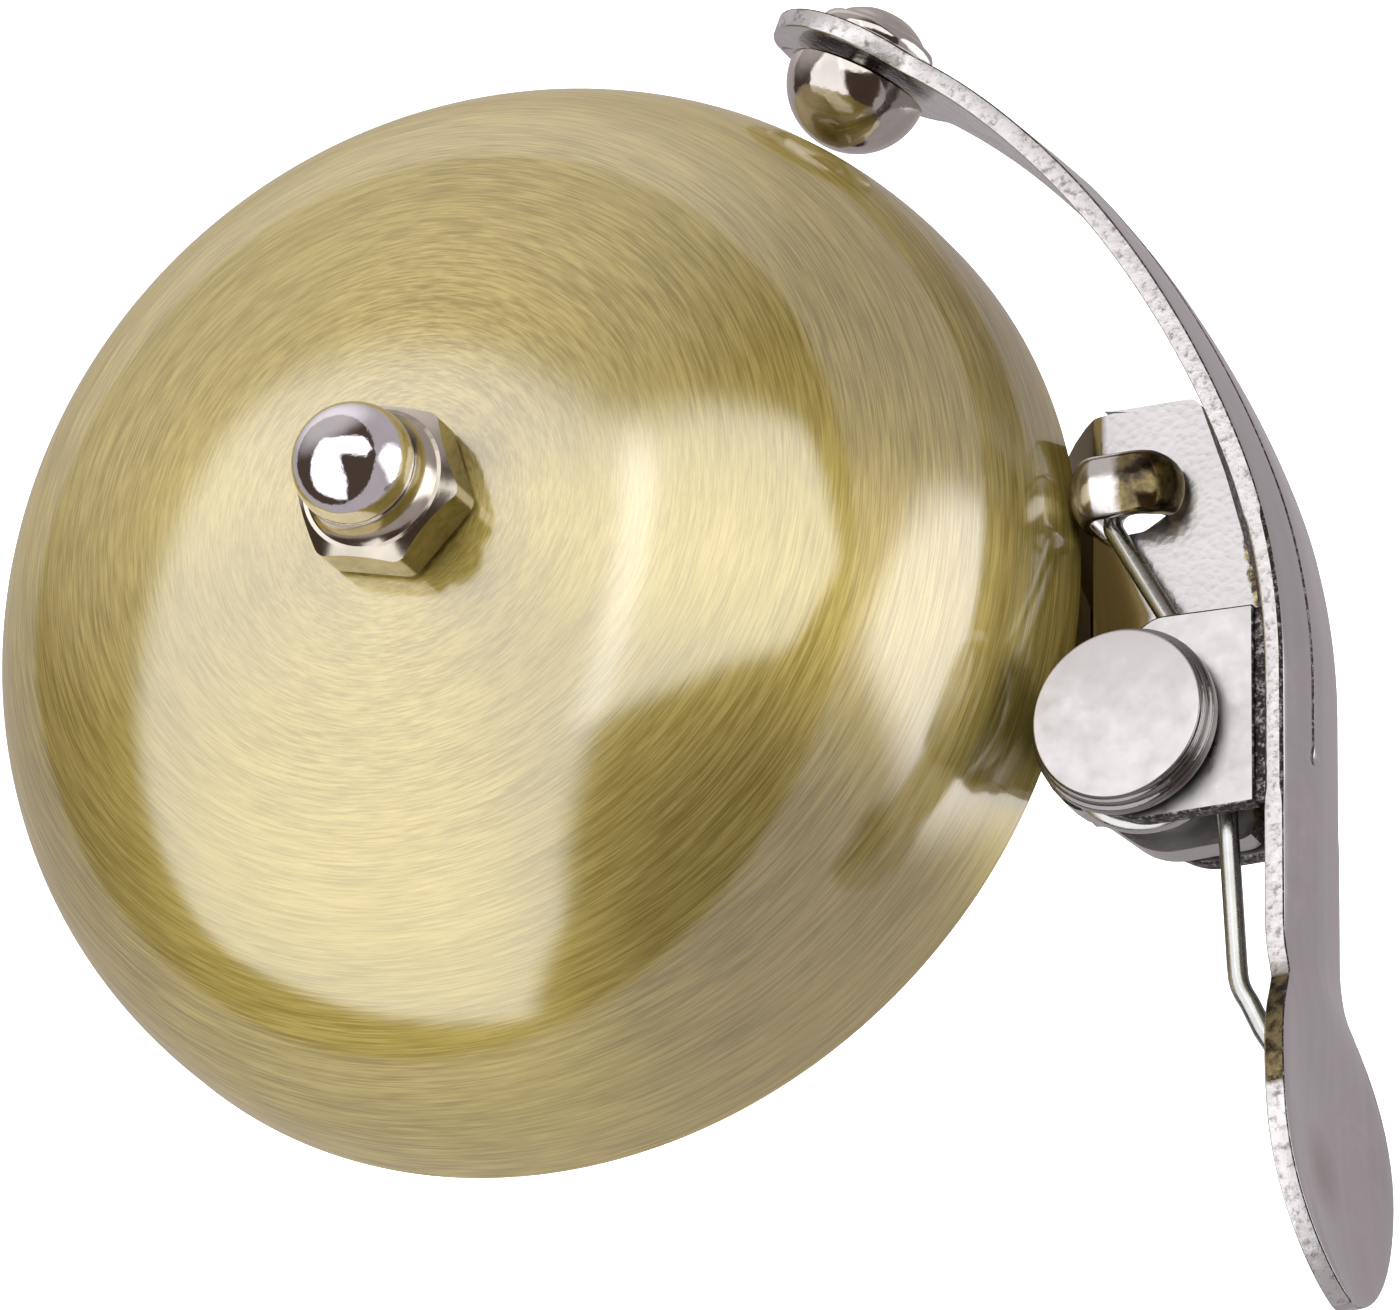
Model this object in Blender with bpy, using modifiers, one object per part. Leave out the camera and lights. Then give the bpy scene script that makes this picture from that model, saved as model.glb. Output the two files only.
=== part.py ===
"""Bicycle bell with a sprung thumb lever, for a 22.2 mm handlebar.

Frame: the origin is on the handlebar's axis in the middle of the clamp, +Y runs along the handlebar, +Z is
the gong's axis and points away from the handlebar, and +X points from the gong to the lever. Metres.
"""

import math

import bmesh
import bpy
from mathutils import Matrix, Vector

MM = 0.001

# Clamp
BAR_RADIUS = 11.1 * MM
LINER_THICKNESS = 1.2 * MM
LINER_WIDTH = 12.0 * MM
FIT_GAP = 0.3 * MM
BAND_THICKNESS = 1.0 * MM
BAND_WIDTH = 10.0 * MM
BAND_SEAT_HALF = 4.0 * MM
CLAMP_SLIT = 3.0 * MM
LUG_END = 22.0 * MM
CLAMP_SCREW_X = -17.7 * MM
CLAMP_SCREW_RADIUS = 2.0 * MM
SCREW_HOLE_RADIUS = 2.4 * MM

# Gong
DOME_RADIUS = 27.5 * MM
DOME_WALL = 1.3 * MM
DOME_HOLE_RADIUS = 2.4 * MM
RIM_GAP = 1.4 * MM

# Bracket
BRACKET_THICKNESS = 1.4 * MM
HUB_RADIUS = 8.0 * MM
JOGGLE_START = 26.4 * MM
JOGGLE_END = 28.6 * MM
JOGGLE_RISE = 1.6 * MM
FINGER_LOW_Y = 1.45 * MM
FINGER_HIGH_Y = 4.7 * MM
FINGER_THICKNESS = 1.0 * MM

# Lever and pivot
PIVOT_X = 31.95 * MM
PIVOT_Y = -10.9 * MM
LEVER_X = 39.7 * MM
LEVER_WIDTH = 7.5 * MM
LEVER_SHEET = 1.0 * MM
RIVET_RADIUS = 1.0 * MM
RIVET_HEAD_RADIUS = 3.1 * MM
PIN_RADIUS = 2.0 * MM
PIN_HEAD_RADIUS = 4.65 * MM
PIN_HEAD_HEIGHT = 1.6 * MM
BUSH_CLEARANCE = 0.07 * MM
PAD_RADIUS = 4.9 * MM
PADDLE_HALF_WIDTH = 7.2 * MM
PADDLE_HALF_LENGTH = 8.3 * MM
PADDLE_DISH = 0.6 * MM
BALL_RADIUS = 3.5 * MM
BALL_SINK = 0.65 * MM

# Spring
WIRE_RADIUS = 0.5 * MM
COIL_RADIUS = 3.95 * MM
COIL_PITCH = 1.06 * MM
LEG_RISE = 1.15 * MM
COIL_START_ANGLE = math.radians(30)
COIL_END_ANGLE = math.radians(2 - 360)

# Nut
NUT_FLATS = 7.7 * MM
NUT_TURN = math.radians(-13.5)
NUT_HEX_HEIGHT = 2.6 * MM
NUT_BALL_RADIUS = 3.0 * MM
NUT_HEIGHT = 7.6 * MM
EASE = 0.3 * MM
POST_RADIUS = 3.5 * MM
STUD_RADIUS = 2.0 * MM
TAPPED_RADIUS = 2.3 * MM

# Levels along Z that follow from the above
BAND_INNER = BAR_RADIUS + LINER_THICKNESS + FIT_GAP
BAND_TOP = BAND_INNER + BAND_THICKNESS
HUB_BOTTOM = BAND_TOP + FIT_GAP
HUB_TOP = HUB_BOTTOM + BRACKET_THICKNESS
RIM_Z = HUB_TOP + RIM_GAP
PLATE_TOP = HUB_TOP + JOGGLE_RISE
NEAR_FACE = RIM_Z + 5.0 * MM
FAR_FACE = NEAR_FACE - LEVER_WIDTH
LEVER_MID = (NEAR_FACE + FAR_FACE) / 2
WIRE_LEVEL = PLATE_TOP + 0.2 * MM + WIRE_RADIUS
DOME_TOP = RIM_Z + 19.55 * MM

ROUND_STEPS = 28


# ---------------------------------------------------------------- scene and materials

def clear_scene():
    for obj in list(bpy.data.objects):
        bpy.data.objects.remove(obj, do_unlink=True)


def new_collection(name):
    collection = bpy.data.collections.new(name)
    bpy.context.scene.collection.children.link(collection)
    return collection


def new_material(name, colour, roughness, metallic):
    material = bpy.data.materials.new(name)
    material.use_nodes = True
    shader = material.node_tree.nodes["Principled BSDF"]
    shader.inputs["Base Color"].default_value = (*colour, 1)
    shader.inputs["Roughness"].default_value = roughness
    shader.inputs["Metallic"].default_value = metallic
    material.diffuse_color = (*colour, 1)
    return material


BRASS = ((0.62, 0.55, 0.27), 0.30, 1.0)
NICKEL = ((0.74, 0.72, 0.71), 0.25, 1.0)
CHROME = ((0.80, 0.80, 0.82), 0.08, 1.0)
STEEL = ((0.62, 0.62, 0.64), 0.35, 1.0)
SPRING_STEEL = ((0.42, 0.44, 0.42), 0.22, 1.0)
ZINC = ((0.66, 0.67, 0.68), 0.40, 1.0)
FIBRE = ((0.42, 0.16, 0.09), 0.70, 0.0)
RUBBER = ((0.03, 0.03, 0.03), 0.75, 0.0)


# ---------------------------------------------------------------- modelling tools

def finish_part(obj, finish):
    """Give a sub-part its material and smooth shading, and put it with the bell's parts."""
    obj.data.materials.clear()
    obj.data.materials.append(new_material(obj.name, *finish))
    bpy.data.collections["bicycle_bell"].objects.link(obj)
    if obj.type == "MESH":
        obj.data.shade_smooth()
        obj.data.set_sharp_from_angle(angle=math.radians(35))
    return obj


def as_cutter(obj):
    obj.hide_render = True
    obj.display_type = "WIRE"
    bpy.data.collections["cutters"].objects.link(obj)
    return obj


def boolean(obj, other, operation):
    modifier = obj.modifiers.new(operation.lower(), "BOOLEAN")
    modifier.operation = operation
    modifier.solver = "EXACT"
    modifier.object = other


def cut(obj, cutter):
    boolean(obj, as_cutter(cutter), "DIFFERENCE")


def join(obj, other):
    boolean(obj, as_cutter(other), "UNION")


def keep_inside(obj, other):
    boolean(obj, as_cutter(other), "INTERSECT")


def mesh_object(name, shape):
    bmesh.ops.recalc_face_normals(shape, faces=shape.faces)
    mesh = bpy.data.meshes.new(name)
    shape.to_mesh(mesh)
    shape.free()
    return bpy.data.objects.new(name, mesh)


def turned(name, profile, steps=ROUND_STEPS):
    """A profile of (radius, height) points turned about Z. It runs down the outer side, top to bottom."""
    shape = bmesh.new()
    points = [shape.verts.new((radius, 0, height)) for radius, height in profile]
    for first, second in zip(points, points[1:]):
        shape.edges.new((first, second))
    if profile[0][0] > 0:
        shape.edges.new((points[-1], points[0]))
    mesh = bpy.data.meshes.new(name)
    shape.to_mesh(mesh)
    shape.free()
    obj = bpy.data.objects.new(name, mesh)
    screw = obj.modifiers.new("turn", "SCREW")
    screw.axis = "Z"
    screw.steps = steps
    screw.render_steps = steps
    screw.use_merge_vertices = True
    screw.merge_threshold = 0.001 * MM
    return obj


def ring(name, inner, outer, low, high, steps=ROUND_STEPS):
    return turned(name, [(inner, high), (outer, high), (outer, low), (inner, low)], steps)


def rod(name, radius, low, high, steps=ROUND_STEPS):
    return turned(name, [(0, high), (radius, high), (radius, low), (0, low)], steps)


def arc(centre, radius, start, end, count):
    """Points on an arc, with its angles in degrees."""
    angles = [math.radians(start + (end - start) * i / count) for i in range(count + 1)]
    return [(centre[0] + radius * math.cos(a), centre[1] + radius * math.sin(a)) for a in angles]


def rounded(corners, count=4):
    """A closed outline from corners of (x, y, corner radius), in millimetres."""
    outline = []
    for i, (x, y, radius) in enumerate(corners):
        here = Vector((x, y))
        before = (Vector(corners[i - 1][:2]) - here).normalized()
        after = (Vector(corners[(i + 1) % len(corners)][:2]) - here).normalized()
        half = before.angle(after) / 2
        if radius == 0 or half > math.radians(89):
            outline.append(here * MM)
            continue
        middle = here + (before + after).normalized() * radius / math.sin(half)
        start = here + before * radius / math.tan(half) - middle
        end = here + after * radius / math.tan(half) - middle
        turn = start.angle_signed(end)
        for step in range(count + 1):
            spoke = start.copy()
            spoke.rotate(Matrix.Rotation(-turn * step / count, 2))
            outline.append((middle + spoke) * MM)
    return outline


def meshed(holder, name):
    """Turn a curve object into a welded mesh object that keeps its place."""
    bpy.context.scene.collection.objects.link(holder)
    bpy.context.view_layer.update()
    evaluated = holder.evaluated_get(bpy.context.evaluated_depsgraph_get())
    mesh = bpy.data.meshes.new_from_object(evaluated)
    shape = bmesh.new()
    shape.from_mesh(mesh)
    bmesh.ops.remove_doubles(shape, verts=shape.verts, dist=0.001 * MM)
    obj = mesh_object(name, shape)
    obj.matrix_world = holder.matrix_world
    bpy.data.objects.remove(holder, do_unlink=True)
    bpy.data.meshes.remove(mesh)
    return obj


def sheet(name, outline, low, high, turn=None):
    """A flat outline made solid between two levels along Z, or along Y when it is turned up."""
    curve = bpy.data.curves.new(name, "CURVE")
    curve.dimensions = "2D"
    curve.fill_mode = "BOTH"
    curve.extrude = (high - low) / 2
    spline = curve.splines.new("POLY")
    spline.points.add(len(outline) - 1)
    for point, (x, y) in zip(spline.points, outline):
        point.co = (x, y, 0, 1)
    spline.use_cyclic_u = True
    holder = bpy.data.objects.new(name + "_outline", curve)
    holder.matrix_world = (turn or Matrix()) @ Matrix.Translation((0, 0, (low + high) / 2))
    return meshed(holder, name)


UPRIGHT = Matrix.Rotation(math.radians(90), 4, "X")


def strap(name, path, thickness, width):
    """A strip whose inner face follows a path of (x, z) points, thickened outwards, width along Y."""
    shape = bmesh.new()
    rows = [[shape.verts.new((x, side * width / 2, z)) for side in (-1, 1)] for x, z in path]
    for first, second in zip(rows, rows[1:]):
        shape.faces.new((first[0], second[0], second[1], first[1]))
    mesh = bpy.data.meshes.new(name)
    shape.to_mesh(mesh)
    shape.free()
    obj = bpy.data.objects.new(name, mesh)
    solidify = obj.modifiers.new("thickness", "SOLIDIFY")
    solidify.thickness = thickness
    solidify.offset = 1
    solidify.use_even_offset = True
    return obj


# ---------------------------------------------------------------- gong

def dome_point(angle):
    """Outer face of the gong: a flattened dome, as a rounded superellipse. Zero is the crown."""
    power = 2 / 2.438
    double = math.sin(2 * angle) ** 2
    swell = 1 + 0.029 * double + 0.041 * double * math.cos(2 * angle)
    radius = math.sin(angle) ** power * swell
    height = 0.671 * math.cos(angle) ** power * swell + 0.040
    return Vector((radius, height)) * DOME_RADIUS


def dome_profile(offset, count=13):
    """The dome's outline in (radius, height) from the crown to the rim, moved in by offset."""
    points = []
    nudge = 0.002
    for i in range(count + 1):
        angle = 0.10 + (math.pi / 2 - 0.03 - 0.10) * i / count
        along = (dome_point(angle + nudge) - dome_point(angle - nudge)).normalized()
        inward = Vector((along.y, -along.x))
        points.append(dome_point(angle) + inward * offset)
    return points


def make_dome():
    outer = dome_profile(0)
    inner = dome_profile(DOME_WALL)
    profile = [(DOME_HOLE_RADIUS, DOME_TOP)]
    profile += [(p.x, RIM_Z + p.y) for p in outer]
    profile += [(DOME_RADIUS, RIM_Z + 0.2 * MM), (DOME_RADIUS - 0.2 * MM, RIM_Z)]
    profile += [(DOME_RADIUS - DOME_WALL, RIM_Z)]
    profile += [(p.x, RIM_Z + p.y) for p in reversed(inner)]
    profile += [(DOME_HOLE_RADIUS, DOME_TOP - DOME_WALL)]
    finish_part(turned("dome", profile, 60), BRASS)


def make_acorn_nut():
    """A domed hex nut with a chamfered top face and a blind thread."""
    seat = DOME_TOP + FIT_GAP
    hex_top = seat + NUT_HEX_HEIGHT
    corner = NUT_FLATS / math.sqrt(3)
    nut = turned("acorn_nut", [(0, hex_top), (corner, hex_top), (corner, seat), (0, seat)], 6)
    nut.rotation_euler.z = NUT_TURN
    worn = corner - 0.12 * MM
    limit = [(0, hex_top + MM), (3.65 * MM, hex_top + MM), (3.65 * MM, hex_top), (worn, hex_top - 0.6 * MM),
             (worn, seat - MM), (0, seat - MM)]
    keep_inside(nut, turned("nut_chamfer", limit))
    middle = seat + NUT_HEIGHT - NUT_BALL_RADIUS
    cap = arc((0, middle), NUT_BALL_RADIUS, 90, 0, 9)
    cap[0] = (0, middle + NUT_BALL_RADIUS)
    cap += [(3.05 * MM, hex_top + 0.5 * MM), (3.35 * MM, hex_top), (3.35 * MM, hex_top - 0.5 * MM),
            (0, hex_top - 0.5 * MM)]
    join(nut, turned("nut_cap", cap))
    cut(nut, rod("nut_thread", TAPPED_RADIUS, seat - MM, seat + 4.9 * MM))
    finish_part(nut, CHROME)


def make_centre_post():
    """The pillar, tapped underneath for the mounting screw, with a threaded tip on top for the nut."""
    foot = HUB_TOP + FIT_GAP + 0.7 * MM + FIT_GAP
    shoulder = DOME_TOP - DOME_WALL - FIT_GAP - 0.8 * MM - FIT_GAP
    tip = DOME_TOP + FIT_GAP + 4.5 * MM
    thread_end = foot + 6.4 * MM
    profile = [(0, tip), (STUD_RADIUS - EASE, tip), (STUD_RADIUS, tip - EASE), (STUD_RADIUS, shoulder),
               (POST_RADIUS - EASE, shoulder), (POST_RADIUS, shoulder - EASE), (POST_RADIUS, foot + EASE),
               (POST_RADIUS - EASE, foot), (TAPPED_RADIUS, foot), (TAPPED_RADIUS, thread_end), (0, thread_end)]
    finish_part(turned("center_post", profile), STEEL)
    finish_part(ring("dome_washer", DOME_HOLE_RADIUS, 5.0 * MM, shoulder + FIT_GAP, shoulder + 1.1 * MM), FIBRE)
    washer = ring("hub_washer", 2.5 * MM, 4.0 * MM, HUB_TOP + FIT_GAP, HUB_TOP + FIT_GAP + 0.7 * MM)
    slit = rounded([(2, -0.3, 0), (5, -0.3, 0), (5, 0.3, 0), (2, 0.3, 0)])
    cut(washer, sheet("washer_slit", slit, HUB_TOP, HUB_TOP + 2 * MM))
    finish_part(washer, SPRING_STEEL)


# ---------------------------------------------------------------- bracket

def joggle_profile():
    """Side view of the bracket's sheet: hub level, then up beside the gong's rim to the lever's level."""
    bottom = [(-9.0 * MM, HUB_BOTTOM), (JOGGLE_START, HUB_BOTTOM), (JOGGLE_END, HUB_BOTTOM + JOGGLE_RISE),
              (38.0 * MM, HUB_BOTTOM + JOGGLE_RISE)]
    lean = 0.45 * MM
    top = [(38.0 * MM, PLATE_TOP), (JOGGLE_END - lean, PLATE_TOP), (JOGGLE_START - lean, HUB_TOP),
           (-9.0 * MM, HUB_TOP)]
    return bottom + top


def finger_profile():
    """Side view of the finger: up from the plate, along over the spring's leg, and down at its tip."""
    half = FINGER_THICKNESS / 2
    top = PLATE_TOP / MM + 2.4
    left, right = 28.25, 32.3
    outer = rounded([(left - half / MM, PLATE_TOP / MM - 1.2, 0), (left - half / MM, top, 1.5),
                     (right + half / MM, top, 1.6), (right + half / MM, PLATE_TOP / MM + 0.5, 0),
                     (right - half / MM, PLATE_TOP / MM + 0.5, 0), (right - half / MM, top - 1.0, 0.6),
                     (left + half / MM, top - 1.0, 0.5), (left + half / MM, PLATE_TOP / MM - 1.2, 0)])
    return outer


def make_base_bracket():
    bracket = sheet("base_bracket", joggle_profile(), -20 * MM, 20 * MM, UPRIGHT)
    outline = arc((0, 0), HUB_RADIUS, 90, 270, 16)
    outline += rounded([(24.0, -11.7, 6), (28.0, -12.9, 3), (31.2, -15.6, 3.5), (36.7, -15.4, 1.2),
                        (37.0, -7.0, 4), (36.5, -2.0, 5), (35.0, 3.6, 3), (33.6, 7.9, 0.8), (29.0, 7.9, 3),
                        (25.6, 8.6, 4)])
    keep_inside(bracket, sheet("bracket_outline", outline, 0, 30 * MM))
    window = rounded([(28.5, 1.2, 0.3), (30.8, 1.3, 1.0), (32.5, 2.3, 1.0), (32.3, 5.1, 0.8),
                      (28.5, 5.1, 0.3)])
    cut(bracket, sheet("finger_window", window, HUB_TOP - 5 * MM, PLATE_TOP + MM))
    finger = sheet("finger", finger_profile(), -FINGER_HIGH_Y, -FINGER_LOW_Y, UPRIGHT)
    join(bracket, finger)
    cut(bracket, rod("hub_hole", SCREW_HOLE_RADIUS, HUB_BOTTOM - MM, HUB_TOP + MM))
    bush_hole = rod("bush_hole", 2.9 * MM, HUB_BOTTOM - MM, PLATE_TOP + MM)
    bush_hole.location = (PIVOT_X, PIVOT_Y, 0)
    cut(bracket, bush_hole)
    for side, name in ((1, "right"), (-1, "left")):
        edge = side * (BAND_WIDTH / 2 + FIT_GAP)
        low, high = sorted((edge, edge + side * 1.2 * MM))
        tab = [(-3 * MM, low), (3 * MM, low), (3 * MM, high), (-3 * MM, high)]
        join(bracket, sheet("hub_tab_" + name, tab, BAND_INNER, HUB_BOTTOM + 0.5 * MM))
    finish_part(bracket, NICKEL)


# ---------------------------------------------------------------- clamp

def band_radius(angle):
    """Inner radius of the strap, with a flat seat on top for the bracket."""
    off = abs(angle - math.pi / 2)
    seat = math.atan2(BAND_SEAT_HALF, BAND_INNER)
    if off <= seat:
        return BAND_INNER / math.cos(off)
    swell = BAND_INNER / math.cos(seat) - BAND_INNER
    share = min((off - seat) / math.radians(28), 1)
    return BAND_INNER + swell * (1 - share * share * (3 - 2 * share))


def make_clamp_band():
    half_slit = CLAMP_SLIT / 2
    start = math.pi - math.asin(half_slit / BAND_INNER)
    count = 44
    path = [(-LUG_END, half_slit)]
    for i in range(count + 1):
        angle = start + (2 * math.pi - 2 * (math.pi - start)) * -i / count
        path.append((band_radius(angle % (2 * math.pi)) * math.cos(angle),
                     band_radius(angle % (2 * math.pi)) * math.sin(angle)))
    path.append((-LUG_END, -half_slit))
    band = strap("clamp_band", path, BAND_THICKNESS, BAND_WIDTH)
    plan = rounded([(-22.5, -5.5, 3.5), (16, -5.5, 0), (16, 5.5, 0), (-22.5, 5.5, 3.5)])
    keep_inside(band, sheet("band_plan", plan, -16 * MM, 16 * MM))
    cut(band, rod("band_top_hole", SCREW_HOLE_RADIUS, BAND_INNER - MM, BAND_TOP + MM))
    lug_hole = rod("lug_hole", SCREW_HOLE_RADIUS, -5 * MM, 5 * MM)
    lug_hole.location.x = CLAMP_SCREW_X
    cut(band, lug_hole)
    finish_part(band, NICKEL)


def make_bar_liner():
    """A split rubber sleeve with a window over the mounting screw's head."""
    open_angle = math.asin(CLAMP_SLIT / 2 / BAR_RADIUS)
    count = 44
    sweep = 2 * (math.pi - open_angle)
    angles = [math.pi - open_angle - sweep * i / count for i in range(count + 1)]
    path = [(BAR_RADIUS * math.cos(a), BAR_RADIUS * math.sin(a)) for a in angles]
    liner = strap("bar_liner", path, LINER_THICKNESS, LINER_WIDTH)
    cut(liner, rod("liner_window", 4.4 * MM, 8 * MM, 14 * MM))
    finish_part(liner, RUBBER)


def make_mounting_screw():
    """A thin-headed screw from inside the clamp up into the pillar."""
    head_top = BAND_INNER - FIT_GAP
    head_low = BAR_RADIUS + 0.1 * MM
    tip = HUB_TOP + 6.5 * MM
    profile = [(0, tip), (STUD_RADIUS - EASE, tip), (STUD_RADIUS, tip - EASE), (STUD_RADIUS, head_top),
               (4.0 * MM, head_top), (4.0 * MM, head_low + 0.4 * MM), (3.6 * MM, head_low), (0, head_low)]
    screw = turned("mounting_screw", profile)
    slot = rounded([(-5, -0.5, 0), (5, -0.5, 0), (5, 0.5, 0), (-5, 0.5, 0)])
    cut(screw, sheet("mounting_slot", slot, head_low - MM, head_low + 0.5 * MM))
    finish_part(screw, ZINC)


def make_clamp_screw():
    """The screw that closes the strap, with its washer and square nut."""
    lug = CLAMP_SLIT / 2 + BAND_THICKNESS
    washer_top = -lug - FIT_GAP
    head_top = washer_top - 0.8 * MM - FIT_GAP
    head_low = head_top - 2.4 * MM
    tip = lug + 5.2 * MM
    profile = [(0, tip), (CLAMP_SCREW_RADIUS - 0.4 * MM, tip), (CLAMP_SCREW_RADIUS, tip - 0.4 * MM),
               (CLAMP_SCREW_RADIUS, head_top), (3.7 * MM, head_top), (3.7 * MM, head_low + 0.9 * MM),
               (3.2 * MM, head_low + 0.25 * MM), (2.4 * MM, head_low), (0, head_low)]
    screw = turned("clamp_screw", profile)
    arms = [rounded([(-2.1, -0.45, 0), (2.1, -0.45, 0), (2.1, 0.45, 0), (-2.1, 0.45, 0)]),
            rounded([(-0.45, -2.1, 0), (0.45, -2.1, 0), (0.45, 2.1, 0), (-0.45, 2.1, 0)])]
    for number, arm in enumerate(arms):
        cut(screw, sheet("cross_recess_%d" % number, arm, head_low - MM, head_low + 1.3 * MM))
    screw.location.x = CLAMP_SCREW_X
    for cutter in bpy.data.collections["cutters"].objects:
        if cutter.name.startswith("cross_recess"):
            cutter.location.x = CLAMP_SCREW_X
    finish_part(screw, ZINC)

    washer = ring("clamp_washer", SCREW_HOLE_RADIUS, 4.0 * MM, washer_top - 0.8 * MM, washer_top)
    washer.location.x = CLAMP_SCREW_X
    finish_part(washer, ZINC)

    washer_low = lug + FIT_GAP
    spring_washer = ring("clamp_spring_washer", SCREW_HOLE_RADIUS, 3.5 * MM, washer_low, washer_low + 0.8 * MM)
    gap = rounded([(1, -0.3, 0), (5, -0.3, 0), (5, 0.3, 0), (1, 0.3, 0)])
    split = sheet("clamp_washer_slit", gap, lug, lug + 2 * MM)
    split.location.x += CLAMP_SCREW_X
    spring_washer.location.x = CLAMP_SCREW_X
    cut(spring_washer, split)
    finish_part(spring_washer, SPRING_STEEL)

    nut_low = lug + FIT_GAP + 0.8 * MM + FIT_GAP
    square = rounded([(-3.5, -3.5, 0.4), (3.5, -3.5, 0.4), (3.5, 3.5, 0.4), (-3.5, 3.5, 0.4)], 2)
    nut = sheet("clamp_nut", square, nut_low, nut_low + 3.0 * MM)
    nut.location.x += CLAMP_SCREW_X
    thread = rod("clamp_thread", TAPPED_RADIUS, nut_low - MM, nut_low + 4 * MM)
    thread.location.x = CLAMP_SCREW_X
    cut(nut, thread)
    finish_part(nut, ZINC)


# ---------------------------------------------------------------- lever

KNEE_Y = -20.5 * MM
ARM_BENDS = ((11.6, 0), (12.0, 20), (12.0, 12), (12.0, 14), (14.8, 25))
PADDLE_BENDS = ((1.2, 0), (2.6, 12.5), (8.5, -10.5), (7.5, 6))


def walk(start, heading, bends, step=1.0):
    """Follow bends of (length in millimetres, turn in degrees); give (x, y, heading) at even steps."""
    x, y = start
    stations = [(x, y, heading)]
    for length, turn in bends:
        count = max(1, round(length / step))
        for _ in range(count):
            heading += math.radians(turn) / count / 2
            x += math.cos(heading) * length / count * MM
            y += math.sin(heading) * length / count * MM
            heading += math.radians(turn) / count / 2
            stations.append((x, y, heading))
    return stations


def lever_stations():
    """Stations on the outer face from the hammer's end to the paddle's tip: place and outward normal."""
    knee = (LEVER_X, KNEE_Y)
    upward = walk(knee, math.radians(90), ARM_BENDS)
    downward = walk(knee, math.radians(-90), PADDLE_BENDS)
    stations = []
    for x, y, heading in reversed(upward):
        stations.append((Vector((x, y)), Vector((math.sin(heading), -math.cos(heading)))))
    for x, y, heading in downward[1:]:
        stations.append((Vector((x, y)), Vector((-math.sin(heading), math.cos(heading)))))
    return stations


def lever_lengths(stations):
    lengths = [0.0]
    for (here, _), (there, _) in zip(stations, stations[1:]):
        lengths.append(lengths[-1] + (there - here).length)
    return lengths


def half_width(s, total):
    """Half the lever's width at a distance s from the hammer's end."""
    pad = PAD_RADIUS * math.sqrt(max(0.0, 1 - ((s - PAD_RADIUS) / PAD_RADIUS) ** 2))
    share = min(max((s - PAD_RADIUS) / (26 * MM), 0), 1)
    arm = 3.3 * MM + (LEVER_WIDTH / 2 - 3.3 * MM) * share * share * (3 - 2 * share)
    arm *= min(1.0, max(0.0, s / (2 * PAD_RADIUS))) ** 0.5
    middle = total - PADDLE_HALF_LENGTH
    t = (s - middle) / PADDLE_HALF_LENGTH
    paddle = PADDLE_HALF_WIDTH * max(0.0, 1 - t * t) ** (0.5 if t < 0 else 0.65)
    if s > middle:
        return paddle
    blend = 7
    return (max(pad, 0) ** blend + arm ** blend + paddle ** blend) ** (1 / blend)


def crown(s, total, across):
    """How far the outer face stands out from its edges: the shank is ridged, the paddle is dished."""
    ridge = 0.35 * MM * min(1.0, max(0.0, (s - 12 * MM) / (8 * MM)))
    paddle_share = min(max((s - (total - 16 * MM)) / (7 * MM), 0), 1)
    dish = PADDLE_DISH * paddle_share * paddle_share * (3 - 2 * paddle_share)
    dish *= half_width(s, total) / PADDLE_HALF_WIDTH
    return ridge * (1 - paddle_share) * (1 - abs(across) ** 1.4) - dish * (1 - across * across) ** 1.5


def resample(stations, lengths, s):
    for i in range(len(lengths) - 1):
        if s <= lengths[i + 1] or i == len(lengths) - 2:
            share = (s - lengths[i]) / (lengths[i + 1] - lengths[i])
            place = stations[i][0].lerp(stations[i + 1][0], share)
            normal = stations[i][1].lerp(stations[i + 1][1], share).normalized()
            return place, normal
    return stations[-1]


def station_distances(total):
    """Distances along the lever: close together at the round ends, even along the shank."""
    distances = [PAD_RADIUS * (1 - math.cos(math.radians(a))) for a in (14, 28, 42, 56, 70, 90)]
    straight_end = total - PADDLE_HALF_LENGTH * 1.9
    count = 38
    first = distances[-1]
    distances += [first + (straight_end - first) * i / count for i in range(1, count + 1)]
    last = distances[-1]
    for a in range(8, 91, 8):
        distances.append(last + (total - 0.06 * MM - last) * math.sin(math.radians(a)) ** 0.9)
    return distances


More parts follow.
